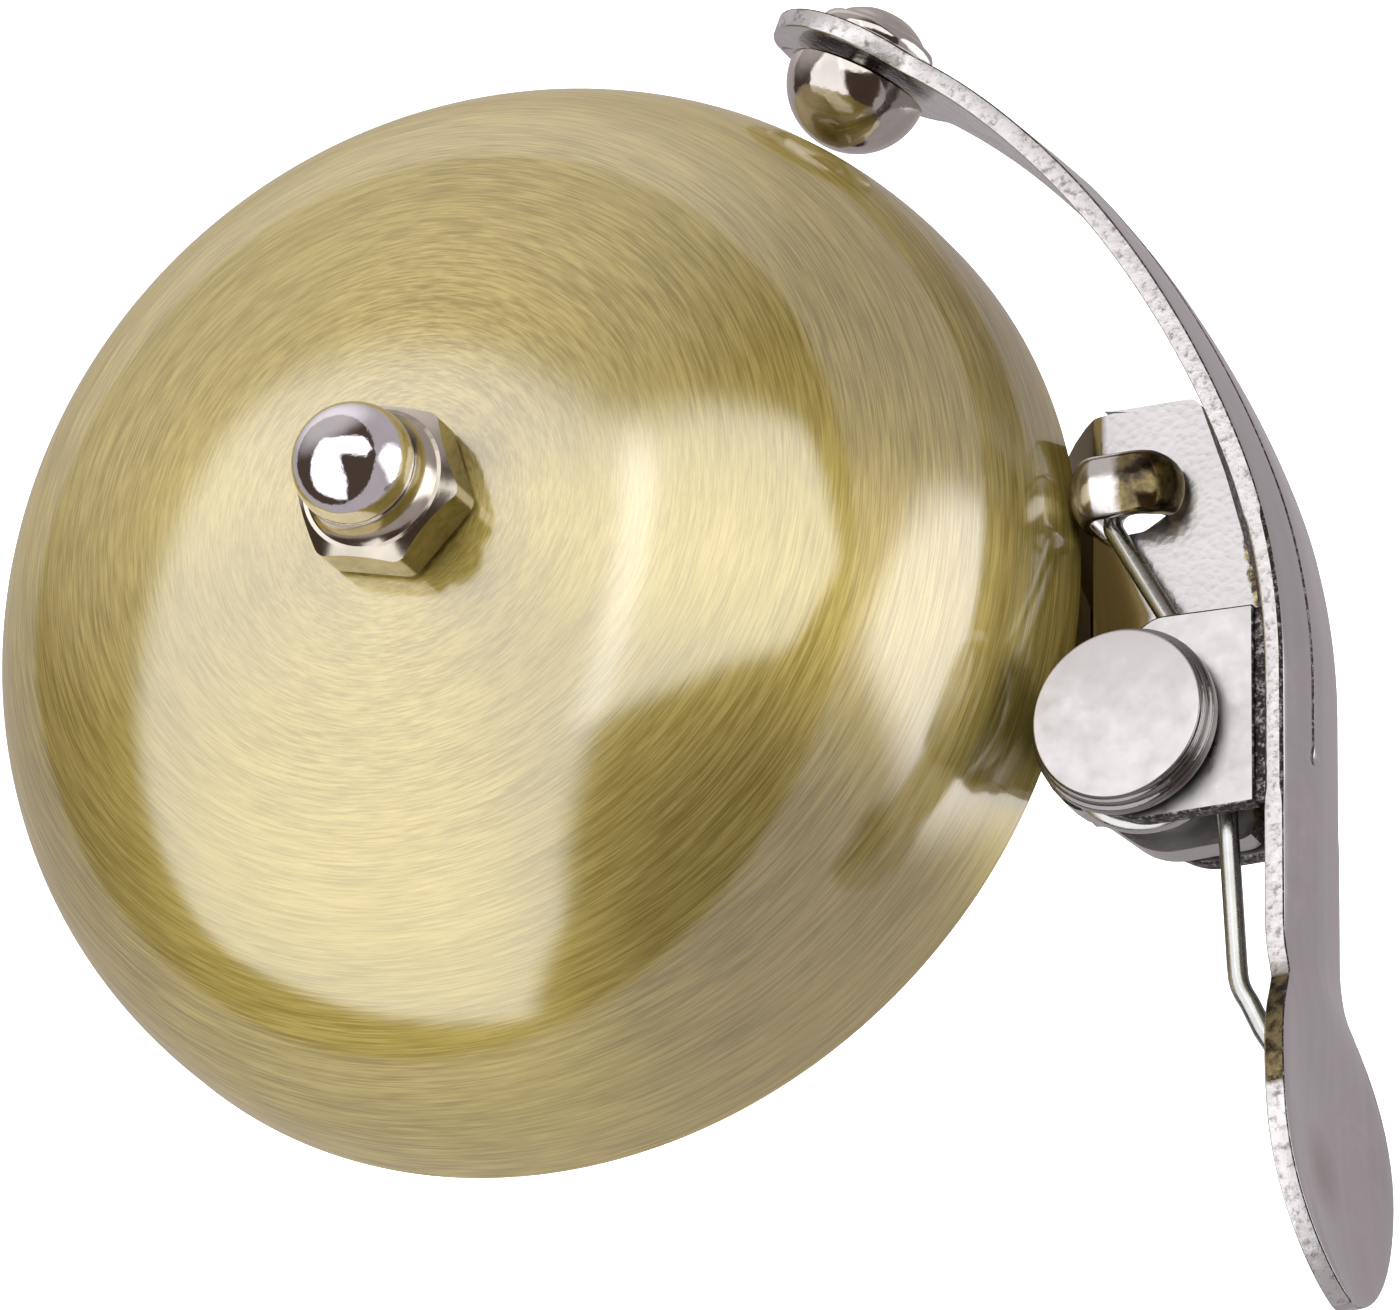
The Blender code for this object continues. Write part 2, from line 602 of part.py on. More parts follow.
def make_lever():
    """One stamping: curved hammer arm, ridged shank, dished paddle, and two ears folded in at the pivot."""
    stations = lever_stations()
    lengths = lever_lengths(stations)
    total = lengths[-1]
    shape = bmesh.new()
    rows = []
    across_count = 8
    for s in station_distances(total):
        place, normal = resample(stations, lengths, s)
        row = []
        for j in range(across_count + 1):
            across = 2 * j / across_count - 1
            out = place + normal * crown(s, total, across)
            row.append(shape.verts.new((out.x, out.y, LEVER_MID + across * half_width(s, total))))
        rows.append(row)
    for first, second in zip(rows, rows[1:]):
        for j in range(across_count):
            shape.faces.new((first[j], first[j + 1], second[j + 1], second[j]))
    mesh = bpy.data.meshes.new("lever")
    shape.to_mesh(mesh)
    shape.free()
    lever = bpy.data.objects.new("lever", mesh)
    solidify = lever.modifiers.new("thickness", "SOLIDIFY")
    solidify.thickness = LEVER_SHEET
    solidify.offset = -1

    ear = rounded([(39.5, -15.7, 0), (39.5, -5.4, 0), (33.2, -5.4, 1.6), (27.9, -8.6, 3.4),
                   (28.4, -14.0, 3.6), (32.2, -15.7, 3.0)])
    far_ear = rounded([(39.5, -15.7, 0), (39.5, -5.4, 0), (33.8, -5.6, 2.6), (28.9, -8.9, 2.8),
                       (29.2, -13.6, 3.0), (33.0, -15.7, 3.0)])
    inset = 0.02 * MM
    join(lever, sheet("near_ear", ear, NEAR_FACE - LEVER_SHEET, NEAR_FACE - inset))
    join(lever, sheet("far_ear", far_ear, FAR_FACE + inset, FAR_FACE + LEVER_SHEET))
    pin_hole = rod("ear_holes", PIN_RADIUS + FIT_GAP, FAR_FACE - MM, NEAR_FACE + MM)
    pin_hole.location = (PIVOT_X, PIVOT_Y, 0)
    cut(lever, pin_hole)
    rivet_hole = rod("rivet_hole", RIVET_RADIUS + FIT_GAP, -4 * MM, 4 * MM, 24)
    rivet_hole.matrix_world = hammer_frame()
    cut(lever, rivet_hole)
    lever.data.transform(Matrix.Translation((-PIVOT_X, -PIVOT_Y, 0)))
    lever.location = (PIVOT_X, PIVOT_Y, 0)
    finish_part(lever, NICKEL)


# ---------------------------------------------------------------- hammer

def hammer_frame():
    """Origin on the pad's outer face, +Z along its outward normal."""
    stations = lever_stations()
    place, normal = resample(stations, lever_lengths(stations), PAD_RADIUS)
    side = Vector((0, 0, 1))
    out = Vector((normal.x, normal.y, 0))
    turn = Matrix((side, out.cross(side), out)).transposed().to_4x4()
    return Matrix.Translation((place.x, place.y, LEVER_MID)) @ turn


def make_hammer():
    """The striker under the pad, and the button rivet that holds it from outside."""
    underside = -LEVER_SHEET - FIT_GAP
    middle = -LEVER_SHEET - BALL_SINK
    top_angle = math.degrees(math.asin((underside - 0.25 * MM - middle) / BALL_RADIUS))
    bore = 1.3 * MM
    profile = [(0, -3.6 * MM), (bore, -3.6 * MM), (bore, underside), (3.1 * MM, underside)]
    profile += arc((0, middle), BALL_RADIUS, top_angle, -90, 14)
    profile[-1] = (0, middle - BALL_RADIUS)
    ball = turned("hammer_ball", profile, 28)
    ball.matrix_world = hammer_frame()
    finish_part(ball, NICKEL)

    seat = FIT_GAP
    head = [(RIVET_HEAD_RADIUS * across, seat + height * MM)
            for across, height in ((0, 1.9), (0.37, 1.8), (0.7, 1.4), (0.93, 0.8), (1, 0.3), (0.97, 0))]
    shank = [(RIVET_RADIUS, seat), (RIVET_RADIUS, -3.2 * MM), (0, -3.2 * MM)]
    rivet = turned("hammer_rivet", head + shank, 24)
    rivet.matrix_world = hammer_frame()
    finish_part(rivet, NICKEL)


# ---------------------------------------------------------------- pivot

def make_pivot():
    """The flat-headed pin, the shouldered bush that it turns in, and the ring on its tail."""
    pivot = (PIVOT_X, PIVOT_Y, 0)
    head_low = NEAR_FACE + FIT_GAP
    head_top = head_low + PIN_HEAD_HEIGHT
    washer_low = FAR_FACE - FIT_GAP - 0.5 * MM
    retainer_top = washer_low - FIT_GAP
    tail = retainer_top - 0.8 * MM - 0.7 * MM
    edge = 0.2 * MM
    profile = [(0, head_top), (PIN_HEAD_RADIUS - edge, head_top), (PIN_HEAD_RADIUS, head_top - edge),
               (PIN_HEAD_RADIUS, head_low), (PIN_RADIUS, head_low), (PIN_RADIUS, tail + 0.4 * MM),
               (PIN_RADIUS - 0.4 * MM, tail), (0, tail)]
    pin = turned("pivot_pin", profile, 40)
    pin.location = pivot
    finish_part(pin, NICKEL)

    bore = PIN_RADIUS + BUSH_CLEARANCE
    low = PLATE_TOP - BRACKET_THICKNESS
    shoulder = PLATE_TOP + FIT_GAP
    high = NEAR_FACE - LEVER_SHEET - FIT_GAP
    profile = [(bore, high), (3.2 * MM, high), (3.2 * MM, shoulder), (2.6 * MM, shoulder), (2.6 * MM, low),
               (bore, low)]
    bush = turned("pivot_bush", profile, 40)
    bush.location = pivot
    finish_part(bush, STEEL)

    washer = ring("pin_washer", PIN_RADIUS + FIT_GAP, 3.6 * MM, washer_low, washer_low + 0.5 * MM)
    washer.location = pivot
    finish_part(washer, STEEL)
    retainer = ring("pin_retainer", PIN_RADIUS + FIT_GAP, 3.1 * MM, retainer_top - 0.8 * MM, retainer_top)
    retainer.location = pivot
    finish_part(retainer, SPRING_STEEL)


def spring_route():
    """Centre line of the spring: hooked end under the finger, leg, coil round the bush, leg to the lever."""
    leg = Vector((math.sin(COIL_START_ANGLE), -math.cos(COIL_START_ANGLE)))
    side = Vector((math.cos(COIL_START_ANGLE), math.sin(COIL_START_ANGLE)))
    centre = Vector((PIVOT_X, PIVOT_Y))
    hook_start = centre + side * COIL_RADIUS - leg * 11.6 * MM
    hook_radius = 0.9 * MM
    hook_middle = hook_start + side * hook_radius
    hook = arc(hook_middle, hook_radius, math.degrees(COIL_START_ANGLE) + 180, 90, 6)
    points = [(hook[-1][0] + 1.1 * MM, hook[-1][1], WIRE_LEVEL)]
    points += [(x, y, WIRE_LEVEL) for x, y in reversed(hook)]
    turns = (COIL_START_ANGLE - COIL_END_ANGLE) / (2 * math.pi)
    count = round(turns * 20)
    for i in range(count + 1):
        angle = COIL_START_ANGLE + (COIL_END_ANGLE - COIL_START_ANGLE) * i / count
        points.append((centre.x + COIL_RADIUS * math.cos(angle), centre.y + COIL_RADIUS * math.sin(angle),
                       WIRE_LEVEL + LEG_RISE + COIL_PITCH * turns * i / count))
    top = points[-1]
    for right, down, drop in ((0.42, 12.5, 0.9), (0.64, 13.3, 1.0), (1.55, 15.3, 1.3)):
        points.append((top[0] + right * MM, top[1] - down * MM, top[2] - drop * MM))
    return points


def make_spring():
    curve = bpy.data.curves.new("torsion_spring", "CURVE")
    curve.dimensions = "3D"
    curve.bevel_depth = WIRE_RADIUS
    curve.bevel_resolution = 2
    curve.use_fill_caps = True
    route = spring_route()
    spline = curve.splines.new("POLY")
    spline.points.add(len(route) - 1)
    for point, (x, y, z) in zip(spline.points, route):
        point.co = (x - PIVOT_X, y - PIVOT_Y, z, 1)
    spring = bpy.data.objects.new("torsion_spring", curve)
    spring.location = (PIVOT_X, PIVOT_Y, 0)
    finish_part(spring, SPRING_STEEL)


def main():
    clear_scene()
    new_collection("bicycle_bell")
    new_collection("cutters")
    make_dome()
    make_acorn_nut()
    make_centre_post()
    make_base_bracket()
    make_clamp_band()
    make_bar_liner()
    make_mounting_screw()
    make_clamp_screw()
    make_lever()
    make_hammer()
    make_pivot()
    make_spring()


main()
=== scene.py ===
"""Looks of the bicycle bell: visible surfaces, materials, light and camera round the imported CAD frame."""

import math

import bmesh
import bpy
from mathutils import Matrix, Vector


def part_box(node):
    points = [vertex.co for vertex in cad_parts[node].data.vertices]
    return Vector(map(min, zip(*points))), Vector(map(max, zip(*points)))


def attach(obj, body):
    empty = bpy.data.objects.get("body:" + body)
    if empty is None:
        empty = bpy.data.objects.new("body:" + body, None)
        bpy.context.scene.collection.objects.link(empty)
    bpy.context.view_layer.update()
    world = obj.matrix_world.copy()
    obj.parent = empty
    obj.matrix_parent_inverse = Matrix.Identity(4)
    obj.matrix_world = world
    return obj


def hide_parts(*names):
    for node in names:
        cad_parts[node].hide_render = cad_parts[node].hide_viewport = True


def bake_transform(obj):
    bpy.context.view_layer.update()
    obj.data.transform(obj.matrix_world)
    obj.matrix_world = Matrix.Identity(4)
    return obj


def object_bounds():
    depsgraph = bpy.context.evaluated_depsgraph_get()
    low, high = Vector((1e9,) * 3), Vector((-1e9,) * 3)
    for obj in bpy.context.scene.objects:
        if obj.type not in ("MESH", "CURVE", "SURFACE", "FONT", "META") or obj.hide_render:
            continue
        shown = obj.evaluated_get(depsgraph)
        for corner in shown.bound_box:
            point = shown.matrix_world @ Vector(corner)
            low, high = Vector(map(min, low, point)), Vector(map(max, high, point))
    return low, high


MM = 0.001
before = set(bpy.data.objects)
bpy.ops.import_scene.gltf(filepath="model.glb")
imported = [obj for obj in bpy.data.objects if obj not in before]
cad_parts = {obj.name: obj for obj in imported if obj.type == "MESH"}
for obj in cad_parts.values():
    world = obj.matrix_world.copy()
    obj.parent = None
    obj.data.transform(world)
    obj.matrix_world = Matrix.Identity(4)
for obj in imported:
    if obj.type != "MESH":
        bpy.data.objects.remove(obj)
cad_low, cad_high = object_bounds()
scene = bpy.context.scene
scene.view_settings.view_transform = "Standard"

# ---------------------------------------------------------------- places, from the CAD's own boxes

dome_low, dome_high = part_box("dome")
nut_low, nut_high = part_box("acorn_nut")
pin_low, pin_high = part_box("pivot_pin")
bracket_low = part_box("base_bracket")[0]

SHEET = 1.0 * MM
LEVER_WIDTH = 7.5 * MM
PIN_HEAD_HEIGHT = 1.6 * MM
FIT_GAP = 0.3 * MM
RIM_GAP = 1.4 * MM
BRACKET_THICKNESS = 1.4 * MM
JOGGLE_RISE = 1.6 * MM

DOME_RADIUS = (dome_high.x - dome_low.x) / 2
RIM_Z = dome_low.z
DOME_TOP = dome_high.z
PIVOT = Vector(((pin_low.x + pin_high.x) / 2, (pin_low.y + pin_high.y) / 2, 0))
PIN_HEAD_RADIUS = (pin_high.x - pin_low.x) / 2
PIN_HEAD_LOW = pin_high.z - PIN_HEAD_HEIGHT
NEAR_FACE = PIN_HEAD_LOW - FIT_GAP
FAR_FACE = NEAR_FACE - LEVER_WIDTH
LEVER_MID = (NEAR_FACE + FAR_FACE) / 2
HUB_TOP = RIM_Z - RIM_GAP
HUB_BOTTOM = HUB_TOP - BRACKET_THICKNESS
PLATE_TOP = HUB_TOP + JOGGLE_RISE

# ---------------------------------------------------------------- mesh tools


def limit(value):
    return min(max(value, 0.0), 1.0)


def ease(value):
    """A smooth step from 0 to 1."""
    share = limit(value)
    return share * share * (3 - 2 * share)


def put_in_scene(name, mesh, materials, smooth_angle):
    obj = bpy.data.objects.new(name, mesh)
    scene.collection.objects.link(obj)
    for material in materials:
        mesh.materials.append(material)
    mesh.shade_smooth()
    mesh.set_sharp_from_angle(angle=math.radians(smooth_angle))
    return obj


def add_object(name, mesh, body, materials, smooth_angle=35):
    obj = put_in_scene(name, mesh, materials, smooth_angle)
    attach(obj, body)
    return obj


def mesh_from(name, shape):
    bmesh.ops.recalc_face_normals(shape, faces=shape.faces)
    mesh = bpy.data.meshes.new(name)
    shape.to_mesh(mesh)
    shape.free()
    return mesh


def arc(centre, radius, start, end, count):
    """Points on an arc, with its angles in degrees."""
    angles = [math.radians(start + (end - start) * i / count) for i in range(count + 1)]
    return [(centre[0] + radius * math.cos(a), centre[1] + radius * math.sin(a)) for a in angles]


def rounded(corners, count=8):
    """A closed outline from corners of (x, y, corner radius), in millimetres."""
    outline = []
    for i, (x, y, radius) in enumerate(corners):
        here = Vector((x, y))
        before = (Vector(corners[i - 1][:2]) - here).normalized()
        after = (Vector(corners[(i + 1) % len(corners)][:2]) - here).normalized()
        half = before.angle(after) / 2
        if radius == 0 or half > math.radians(89):
            outline.append(here * MM)
            continue
        middle = here + (before + after).normalized() * radius / math.sin(half)
        start = here + before * radius / math.tan(half) - middle
        end = here + after * radius / math.tan(half) - middle
        turn = start.angle_signed(end)
        for step in range(count + 1):
            spoke = start.copy()
            spoke.rotate(Matrix.Rotation(-turn * step / count, 2))
            outline.append((middle + spoke) * MM)
    return outline


def soften(profile, closed=False):
    """Round each corner of a profile given as (radius, height, corner radius), all in metres."""
    points = []
    for i, (x, y, radius) in enumerate(profile):
        if radius == 0 or (not closed and i in (0, len(profile) - 1)):
            points.append((x, y))
            continue
        here = Vector((x, y))
        before = Vector(profile[i - 1][:2]) - here
        after = Vector(profile[(i + 1) % len(profile)][:2]) - here
        reach = min(radius, before.length * 0.45, after.length * 0.45)
        first = here + before.normalized() * reach
        last = here + after.normalized() * reach
        for step in range(5):
            t = step / 4
            mixed = first * (1 - t) ** 2 + here * (2 * t * (1 - t)) + last * t * t
            points.append((mixed.x, mixed.y))
    return points


def turned(profile, steps=96, wobble=None):
    """A closed mesh from a profile of (radius, height) points turned about Z."""
    shape = bmesh.new()
    rings = []
    for radius, height in profile:
        if radius < 1e-7:
            rings.append([shape.verts.new((0, 0, height))])
            continue
        ring = []
        for j in range(steps):
            angle = 2 * math.pi * j / steps
            r, z = wobble(radius, height, angle) if wobble else (radius, height)
            ring.append(shape.verts.new((r * math.cos(angle), r * math.sin(angle), z)))
        rings.append(ring)
    if len(rings[0]) > 1:
        rings.append(rings[0])
    for first, second in zip(rings, rings[1:]):
        for j in range(steps):
            k = (j + 1) % steps
            if len(first) == 1:
                shape.faces.new((first[0], second[j], second[k]))
            elif len(second) == 1:
                shape.faces.new((first[j], second[0], first[k]))
            else:
                shape.faces.new((first[j], second[j], second[k], first[k]))
    return shape


def slab(outline, low, high, turn=None):
    """A flat outline made solid between two levels along Z, or turned up."""
    shape = bmesh.new()
    bottom = [shape.verts.new((p[0], p[1], low)) for p in outline]
    top = [shape.verts.new((p[0], p[1], high)) for p in outline]
    shape.faces.new(list(reversed(bottom)))
    shape.faces.new(top)
    for i in range(len(outline)):
        j = (i + 1) % len(outline)
        shape.faces.new((bottom[i], bottom[j], top[j], top[i]))
    if turn:
        shape.transform(turn)
    return shape


UPRIGHT = Matrix.Rotation(math.radians(90), 4, "X")
EDGE_BEVEL = 0.12 * MM


def skin(shape, rings):
    """Walls between rings of equal length, with a cap on each end."""
    for first, second in zip(rings, rings[1:]):
        for j in range(len(first)):
            k = (j + 1) % len(first)
            shape.faces.new((first[j], first[k], second[k], second[j]))
    shape.faces.new(list(reversed(rings[0])))
    shape.faces.new(rings[-1])


def bevel(obj, width):
    modifier = obj.modifiers.new("soft edges", "BEVEL")
    modifier.width = width
    modifier.segments = 3
    modifier.limit_method = "ANGLE"
    modifier.angle_limit = math.radians(30)
    modifier.harden_normals = False
    return modifier


def combine(target, other, operation):
    """An exact Boolean of two bmeshes, by way of throwaway objects; gives a bmesh."""
    first = bpy.data.objects.new("first", mesh_from("first", target))
    second = bpy.data.objects.new("second", mesh_from("second", other))
    for obj in (first, second):
        scene.collection.objects.link(obj)
    modifier = first.modifiers.new("join", "BOOLEAN")
    modifier.operation = operation
    modifier.solver = "EXACT"
    modifier.object = second
    bpy.context.view_layer.update()
    result = bpy.data.meshes.new_from_object(first.evaluated_get(bpy.context.evaluated_depsgraph_get()))
    for obj in (first, second):
        bpy.data.objects.remove(obj, do_unlink=True)
    shape = bmesh.new()
    shape.from_mesh(result)
    bmesh.ops.remove_doubles(shape, verts=shape.verts, dist=0.002 * MM)
    bmesh.ops.dissolve_limit(shape, angle_limit=math.radians(0.5), verts=shape.verts, edges=shape.edges)
    return shape


# ---------------------------------------------------------------- material tools

class Tree:
    """Short calls for building a node tree."""

    def __init__(self, tree):
        self.tree = tree

    def add(self, kind, **settings):
        node = self.tree.nodes.new(kind)
        for key, value in settings.items():
            setattr(node, key, value)
        return node

    def feed(self, socket, value):
        """Link another node's output to a socket, or give the socket a fixed value."""
        if isinstance(value, bpy.types.NodeSocket):
            self.tree.links.new(value, socket)
        else:
            socket.default_value = value

    def math(self, operation, *values):
        node = self.add("ShaderNodeMath", operation=operation)
        for socket, value in zip(node.inputs, values):
            self.feed(socket, value)
        return node.outputs[0]

    def plus(self, first, second):
        return self.math("ADD", first, second)

    def times(self, first, second):
        return self.math("MULTIPLY", first, second)

    def fit(self, value, low, high, to_low=0.0, to_high=1.0, kind="LINEAR"):
        node = self.add("ShaderNodeMapRange", interpolation_type=kind)
        for socket, number in zip(node.inputs, (value, low, high, to_low, to_high)):
            self.feed(socket, number)
        return node.outputs[0]


class Nodes(Tree):
    """A material's node tree, with its shader and the object's own coordinates."""

    def __init__(self, name):
        self.material = bpy.data.materials.new(name)
        self.material.use_nodes = True
        super().__init__(self.material.node_tree)
        self.shader = self.tree.nodes["Principled BSDF"]
        self.coords = self.add("ShaderNodeTexCoord").outputs["Object"]

    def set(self, **values):
        """Feed the shader's inputs, with _ for a space in their names."""
        for key, value in values.items():
            self.feed(self.shader.inputs[key.replace("_", " ")], value)

    def noise(self, scale, detail=3.0, rough=0.55, vector=None):
        node = self.add("ShaderNodeTexNoise")
        self.feed(node.inputs["Scale"], scale)
        self.feed(node.inputs["Detail"], detail)
        self.feed(node.inputs["Roughness"], rough)
        self.feed(node.inputs["Vector"], vector or self.coords)
        return node.outputs["Fac"]

    def cells(self, scale):
        node = self.add("ShaderNodeTexVoronoi", feature="F1")
        self.feed(node.inputs["Scale"], scale)
        self.feed(node.inputs["Vector"], self.coords)
        return node.outputs["Distance"]

    def mix(self, factor, first, second):
        node = self.add("ShaderNodeMix", data_type="RGBA")
        self.feed(node.inputs["Factor"], factor)
        for index, value in ((6, first), (7, second)):
            self.feed(node.inputs[index], (*value, 1) if isinstance(value, tuple) else value)
        return node.outputs[2]

    def mottled(self, scale, rough, low, high, dark, light):
        """Two tones parted by a noise between two of its levels."""
        return self.mix(self.fit(self.noise(scale, 4.0, rough), low, high), dark, light)

    def bump(self, height, strength, distance, normal=None):
        node = self.add("ShaderNodeBump")
        self.feed(node.inputs["Strength"], strength)
        self.feed(node.inputs["Distance"], distance)
        self.feed(node.inputs["Height"], height)
        if normal:
            self.feed(node.inputs["Normal"], normal)
        return node.outputs["Normal"]

    def xyz(self):
        parts = self.add("ShaderNodeSeparateXYZ")
        self.feed(parts.inputs[0], self.coords)
        return tuple(parts.outputs)

    def polar(self):
        """Distance from the object's Z axis, height, and angle round it."""
        x, y, z = self.xyz()
        radius = self.math("SQRT", self.plus(self.times(x, x), self.times(y, y)))
        return radius, z, self.math("ARCTAN2", y, x)

    def vector(self, *parts):
        node = self.add("ShaderNodeCombineXYZ")
        for socket, value in zip(node.inputs, parts):
            self.feed(socket, value)
        return node.outputs[0]


def brushed_brass():
    """Brass brushed in rings about the crown, under a thin hard lacquer."""
    n = Nodes("gong_brass")
    radius, height, angle = n.polar()
    along = n.plus(radius, n.times(height, -0.9))
    round_x = n.math("COSINE", angle)
    round_y = n.math("SINE", angle)

    def rings(spacing, turns, shift):
        """Noise drawn out round the axis: spacing across the rings, and how often it changes in a turn."""
        across = n.plus(n.times(along, 1 / spacing), shift)
        spot = n.vector(across, n.times(round_x, turns), n.times(round_y, turns))
        return n.noise(1.0, 2.0, 0.6, spot)

    hair = rings(0.11 * MM, 8.0, 0.0)
    streak = rings(0.26 * MM, 4.0, 40.0)
    band = rings(1.5 * MM, 1.2, 90.0)
    lines = n.plus(n.times(hair, 0.68), n.times(streak, 0.32))
    tone = n.plus(n.times(lines, 0.84), n.times(band, 0.16))
    light = n.mix(n.fit(tone, 0.40, 0.60), (0.345, 0.258, 0.048), (0.665, 0.540, 0.165))
    cloud = n.fit(n.noise(60, 3.0, 0.5), 0.35, 0.65, 0, 0.35)
    tangent = n.add("ShaderNodeTangent", direction_type="RADIAL", axis="Z").outputs[0]
    n.set(Base_Color=n.mix(cloud, light, (0.56, 0.465, 0.10)), Roughness=n.fit(lines, 0.3, 0.7, 0.40, 0.52),
          Normal=n.bump(lines, 0.45, 0.02 * MM), Coat_Normal=n.bump(lines, 0.16, 0.02 * MM), Tangent=tangent,
          Metallic=0.92, Anisotropic=0.85, Anisotropic_Rotation=0.25,
          Coat_Weight=0.75, Coat_IOR=3.0, Coat_Roughness=0.10)
    return n.material


PAINTED_REFLECTION_SPOT = (40.7 * MM, -33.8 * MM, 19.3 * MM)


def plated(name, colour, rough, pebble=0.0, pebble_scale=2600, dirt=0.25, painted_reflection_at=None):
    """Bright plate over stamped steel: tiny pebbles, faint clouds of tone, soft dirt and, where a point is
    given, a painted dark reflection patch.
    """
    n = Nodes(name)
    drawn = n.add("ShaderNodeMapping")
    n.feed(drawn.inputs["Scale"], (500, 45, 1100))
    n.feed(drawn.inputs["Vector"], n.coords)
    cloud = n.times(n.plus(n.noise(180, 4.0, 0.6), n.noise(1.0, 3.0, 0.6, drawn.outputs[0])), 0.5)
    darker = tuple(c * 0.70 for c in colour)
    tone = n.mix(n.fit(cloud, 0.38, 0.68, 0, dirt), colour, darker)
    # Painted reflection: a dark mauve patch round the given point on the paddle's dish, for the dark room
    # reflected there.
    if painted_reflection_at:
        away = n.add("ShaderNodeVectorMath", operation="DISTANCE")
        n.feed(away.inputs[0], n.coords)
        n.feed(away.inputs[1], painted_reflection_at)
        grainy = n.plus(away.outputs["Value"], n.times(n.noise(2600, 4.0, 0.8), 1.4 * MM))
        tone = n.mix(n.fit(grainy, 3.3 * MM, 1.2 * MM, 0, 0.62), tone, (0.30, 0.225, 0.225))
    normal = n.bump(n.noise(2600, 3.0, 0.6), 0.10, 0.01 * MM)
    if pebble:
        lumps = n.plus(n.cells(pebble_scale), n.times(n.noise(pebble_scale * 0.6, 3.0), 0.8))
        normal = n.bump(lumps, pebble, 0.05 * MM, normal)
    gloss = n.fit(n.noise(900, 3.0, 0.6), 0.3, 0.7, rough * 0.75, rough * 1.3)
    n.set(Base_Color=tone, Roughness=gloss, Normal=normal, Metallic=1.0)
    return n.material


def plate_finish():
    """The bracket's plating: pebbled, with the smooth, slightly sunk hollow that the spring's leg crosses
    painted dark olive-brown as the gong's shadow and reflection, and a painted dark reflection along the
    border beside the lever.
    """
    n = Nodes("bracket_plate")
    x, y, _ = n.xyz()
    hollow_end = -10.5 * MM
    reach = n.fit(y, 2.2 * MM, -3.0 * MM, 28.9 * MM, 31.3 * MM)
    depth = n.times(n.math("SUBTRACT", reach, x), 1 / (3 * MM))
    inside = n.math("MINIMUM", n.math("MAXIMUM", depth, 0.0), 1.0)
    sunk = n.times(n.times(inside, inside), n.fit(y, hollow_end, -8 * MM, 0, -0.34 * MM))
    # Painted shade: the hollow is coloured dark olive-brown for the gong's shadow and its reflection on the
    # plate.
    smooth_hollow_shade = n.times(n.fit(depth, 0.02, 0.12), n.fit(y, hollow_end, -9.5 * MM))
    cloud = n.fit(n.noise(180, 4.0, 0.6), 0.38, 0.68, 0, 0.4)
    bright = n.mix(cloud, (0.53, 0.518, 0.51), (0.44, 0.43, 0.42))
    # Painted reflection: a mottled dark bronze strip along the plate's border beside the lever, for its
    # rolled edge's dark reflection.
    ragged = n.plus(x, n.times(n.noise(1300, 4.0, 0.75), 0.9 * MM))
    border = n.fit(y, -3.2 * MM, 2.4 * MM, 36.75 * MM, 35.95 * MM)
    past_border = n.fit(n.math("SUBTRACT", ragged, border), 0, 0.12 * MM)
    painted_border_reflection = n.times(past_border, n.fit(y, 1.8 * MM, 0.8 * MM))
    bronze = n.mottled(1500, 0.7, 0.44, 0.60, (0.055, 0.042, 0.03), (0.42, 0.36, 0.20))
    bright = n.mix(painted_border_reflection, bright, bronze)
    lumps = n.plus(n.cells(2500), n.times(n.noise(1700, 4.0, 0.65), 1.2))
    rough_part = n.times(lumps, n.fit(smooth_hollow_shade, 0, 1, 1.0, 0.12))
    n.set(Base_Color=n.mix(smooth_hollow_shade, bright, (0.115, 0.085, 0.035)), Roughness=n.fit(smooth_hollow_shade, 0, 1, 0.26, 0.12),
          Normal=n.bump(rough_part, 0.22, 0.05 * MM, n.bump(sunk, 1.0, 1.0)), Metallic=1.0)
    return n.material


def paint_edge_shade():
    """Folded and cut borders of the sheet and the lever's crease, coloured near-black with a torn look:
    painted shade and painted dark reflection.
    """
    n = Nodes("painted_shade_edges")
    tear = n.noise(3200, 5.0, 0.8)
    n.set(Base_Color=n.mix(n.fit(tear, 0.50, 0.64), (0.035, 0.03, 0.027), (0.42, 0.40, 0.38)),
          Roughness=n.fit(tear, 0.3, 0.7, 0.5, 0.3), Normal=n.bump(tear, 0.6, 0.08 * MM), Metallic=1.0)
    return n.material


def finger_finish():
    """The spring's finger: bright at its root, painted brown and bronze towards its nose as the reflection of
    the dark room and the gong on its rounded top.
    """
    n = Nodes("finger_plate")
    # Painted reflection: past x 30.55 mm the nose is coloured mottled brown and bronze.
    ragged = n.plus(n.xyz()[0], n.times(n.noise(900, 4.0, 0.7), 0.9 * MM))
    worn_corner_and_painted_nose = n.fit(ragged, 30.55 * MM, 31.0 * MM)
    bronze = n.mottled(420, 0.65, 0.42, 0.58, (0.060, 0.045, 0.032), (0.26, 0.205, 0.095))
    n.set(Base_Color=n.mix(worn_corner_and_painted_nose, (0.72, 0.70, 0.68), bronze),
          Roughness=n.fit(n.noise(1300), 0.3, 0.7, 0.10, 0.26),
          Normal=n.bump(n.noise(2400, 4.0, 0.7), 0.25, 0.03 * MM), Metallic=1.0)
    return n.material


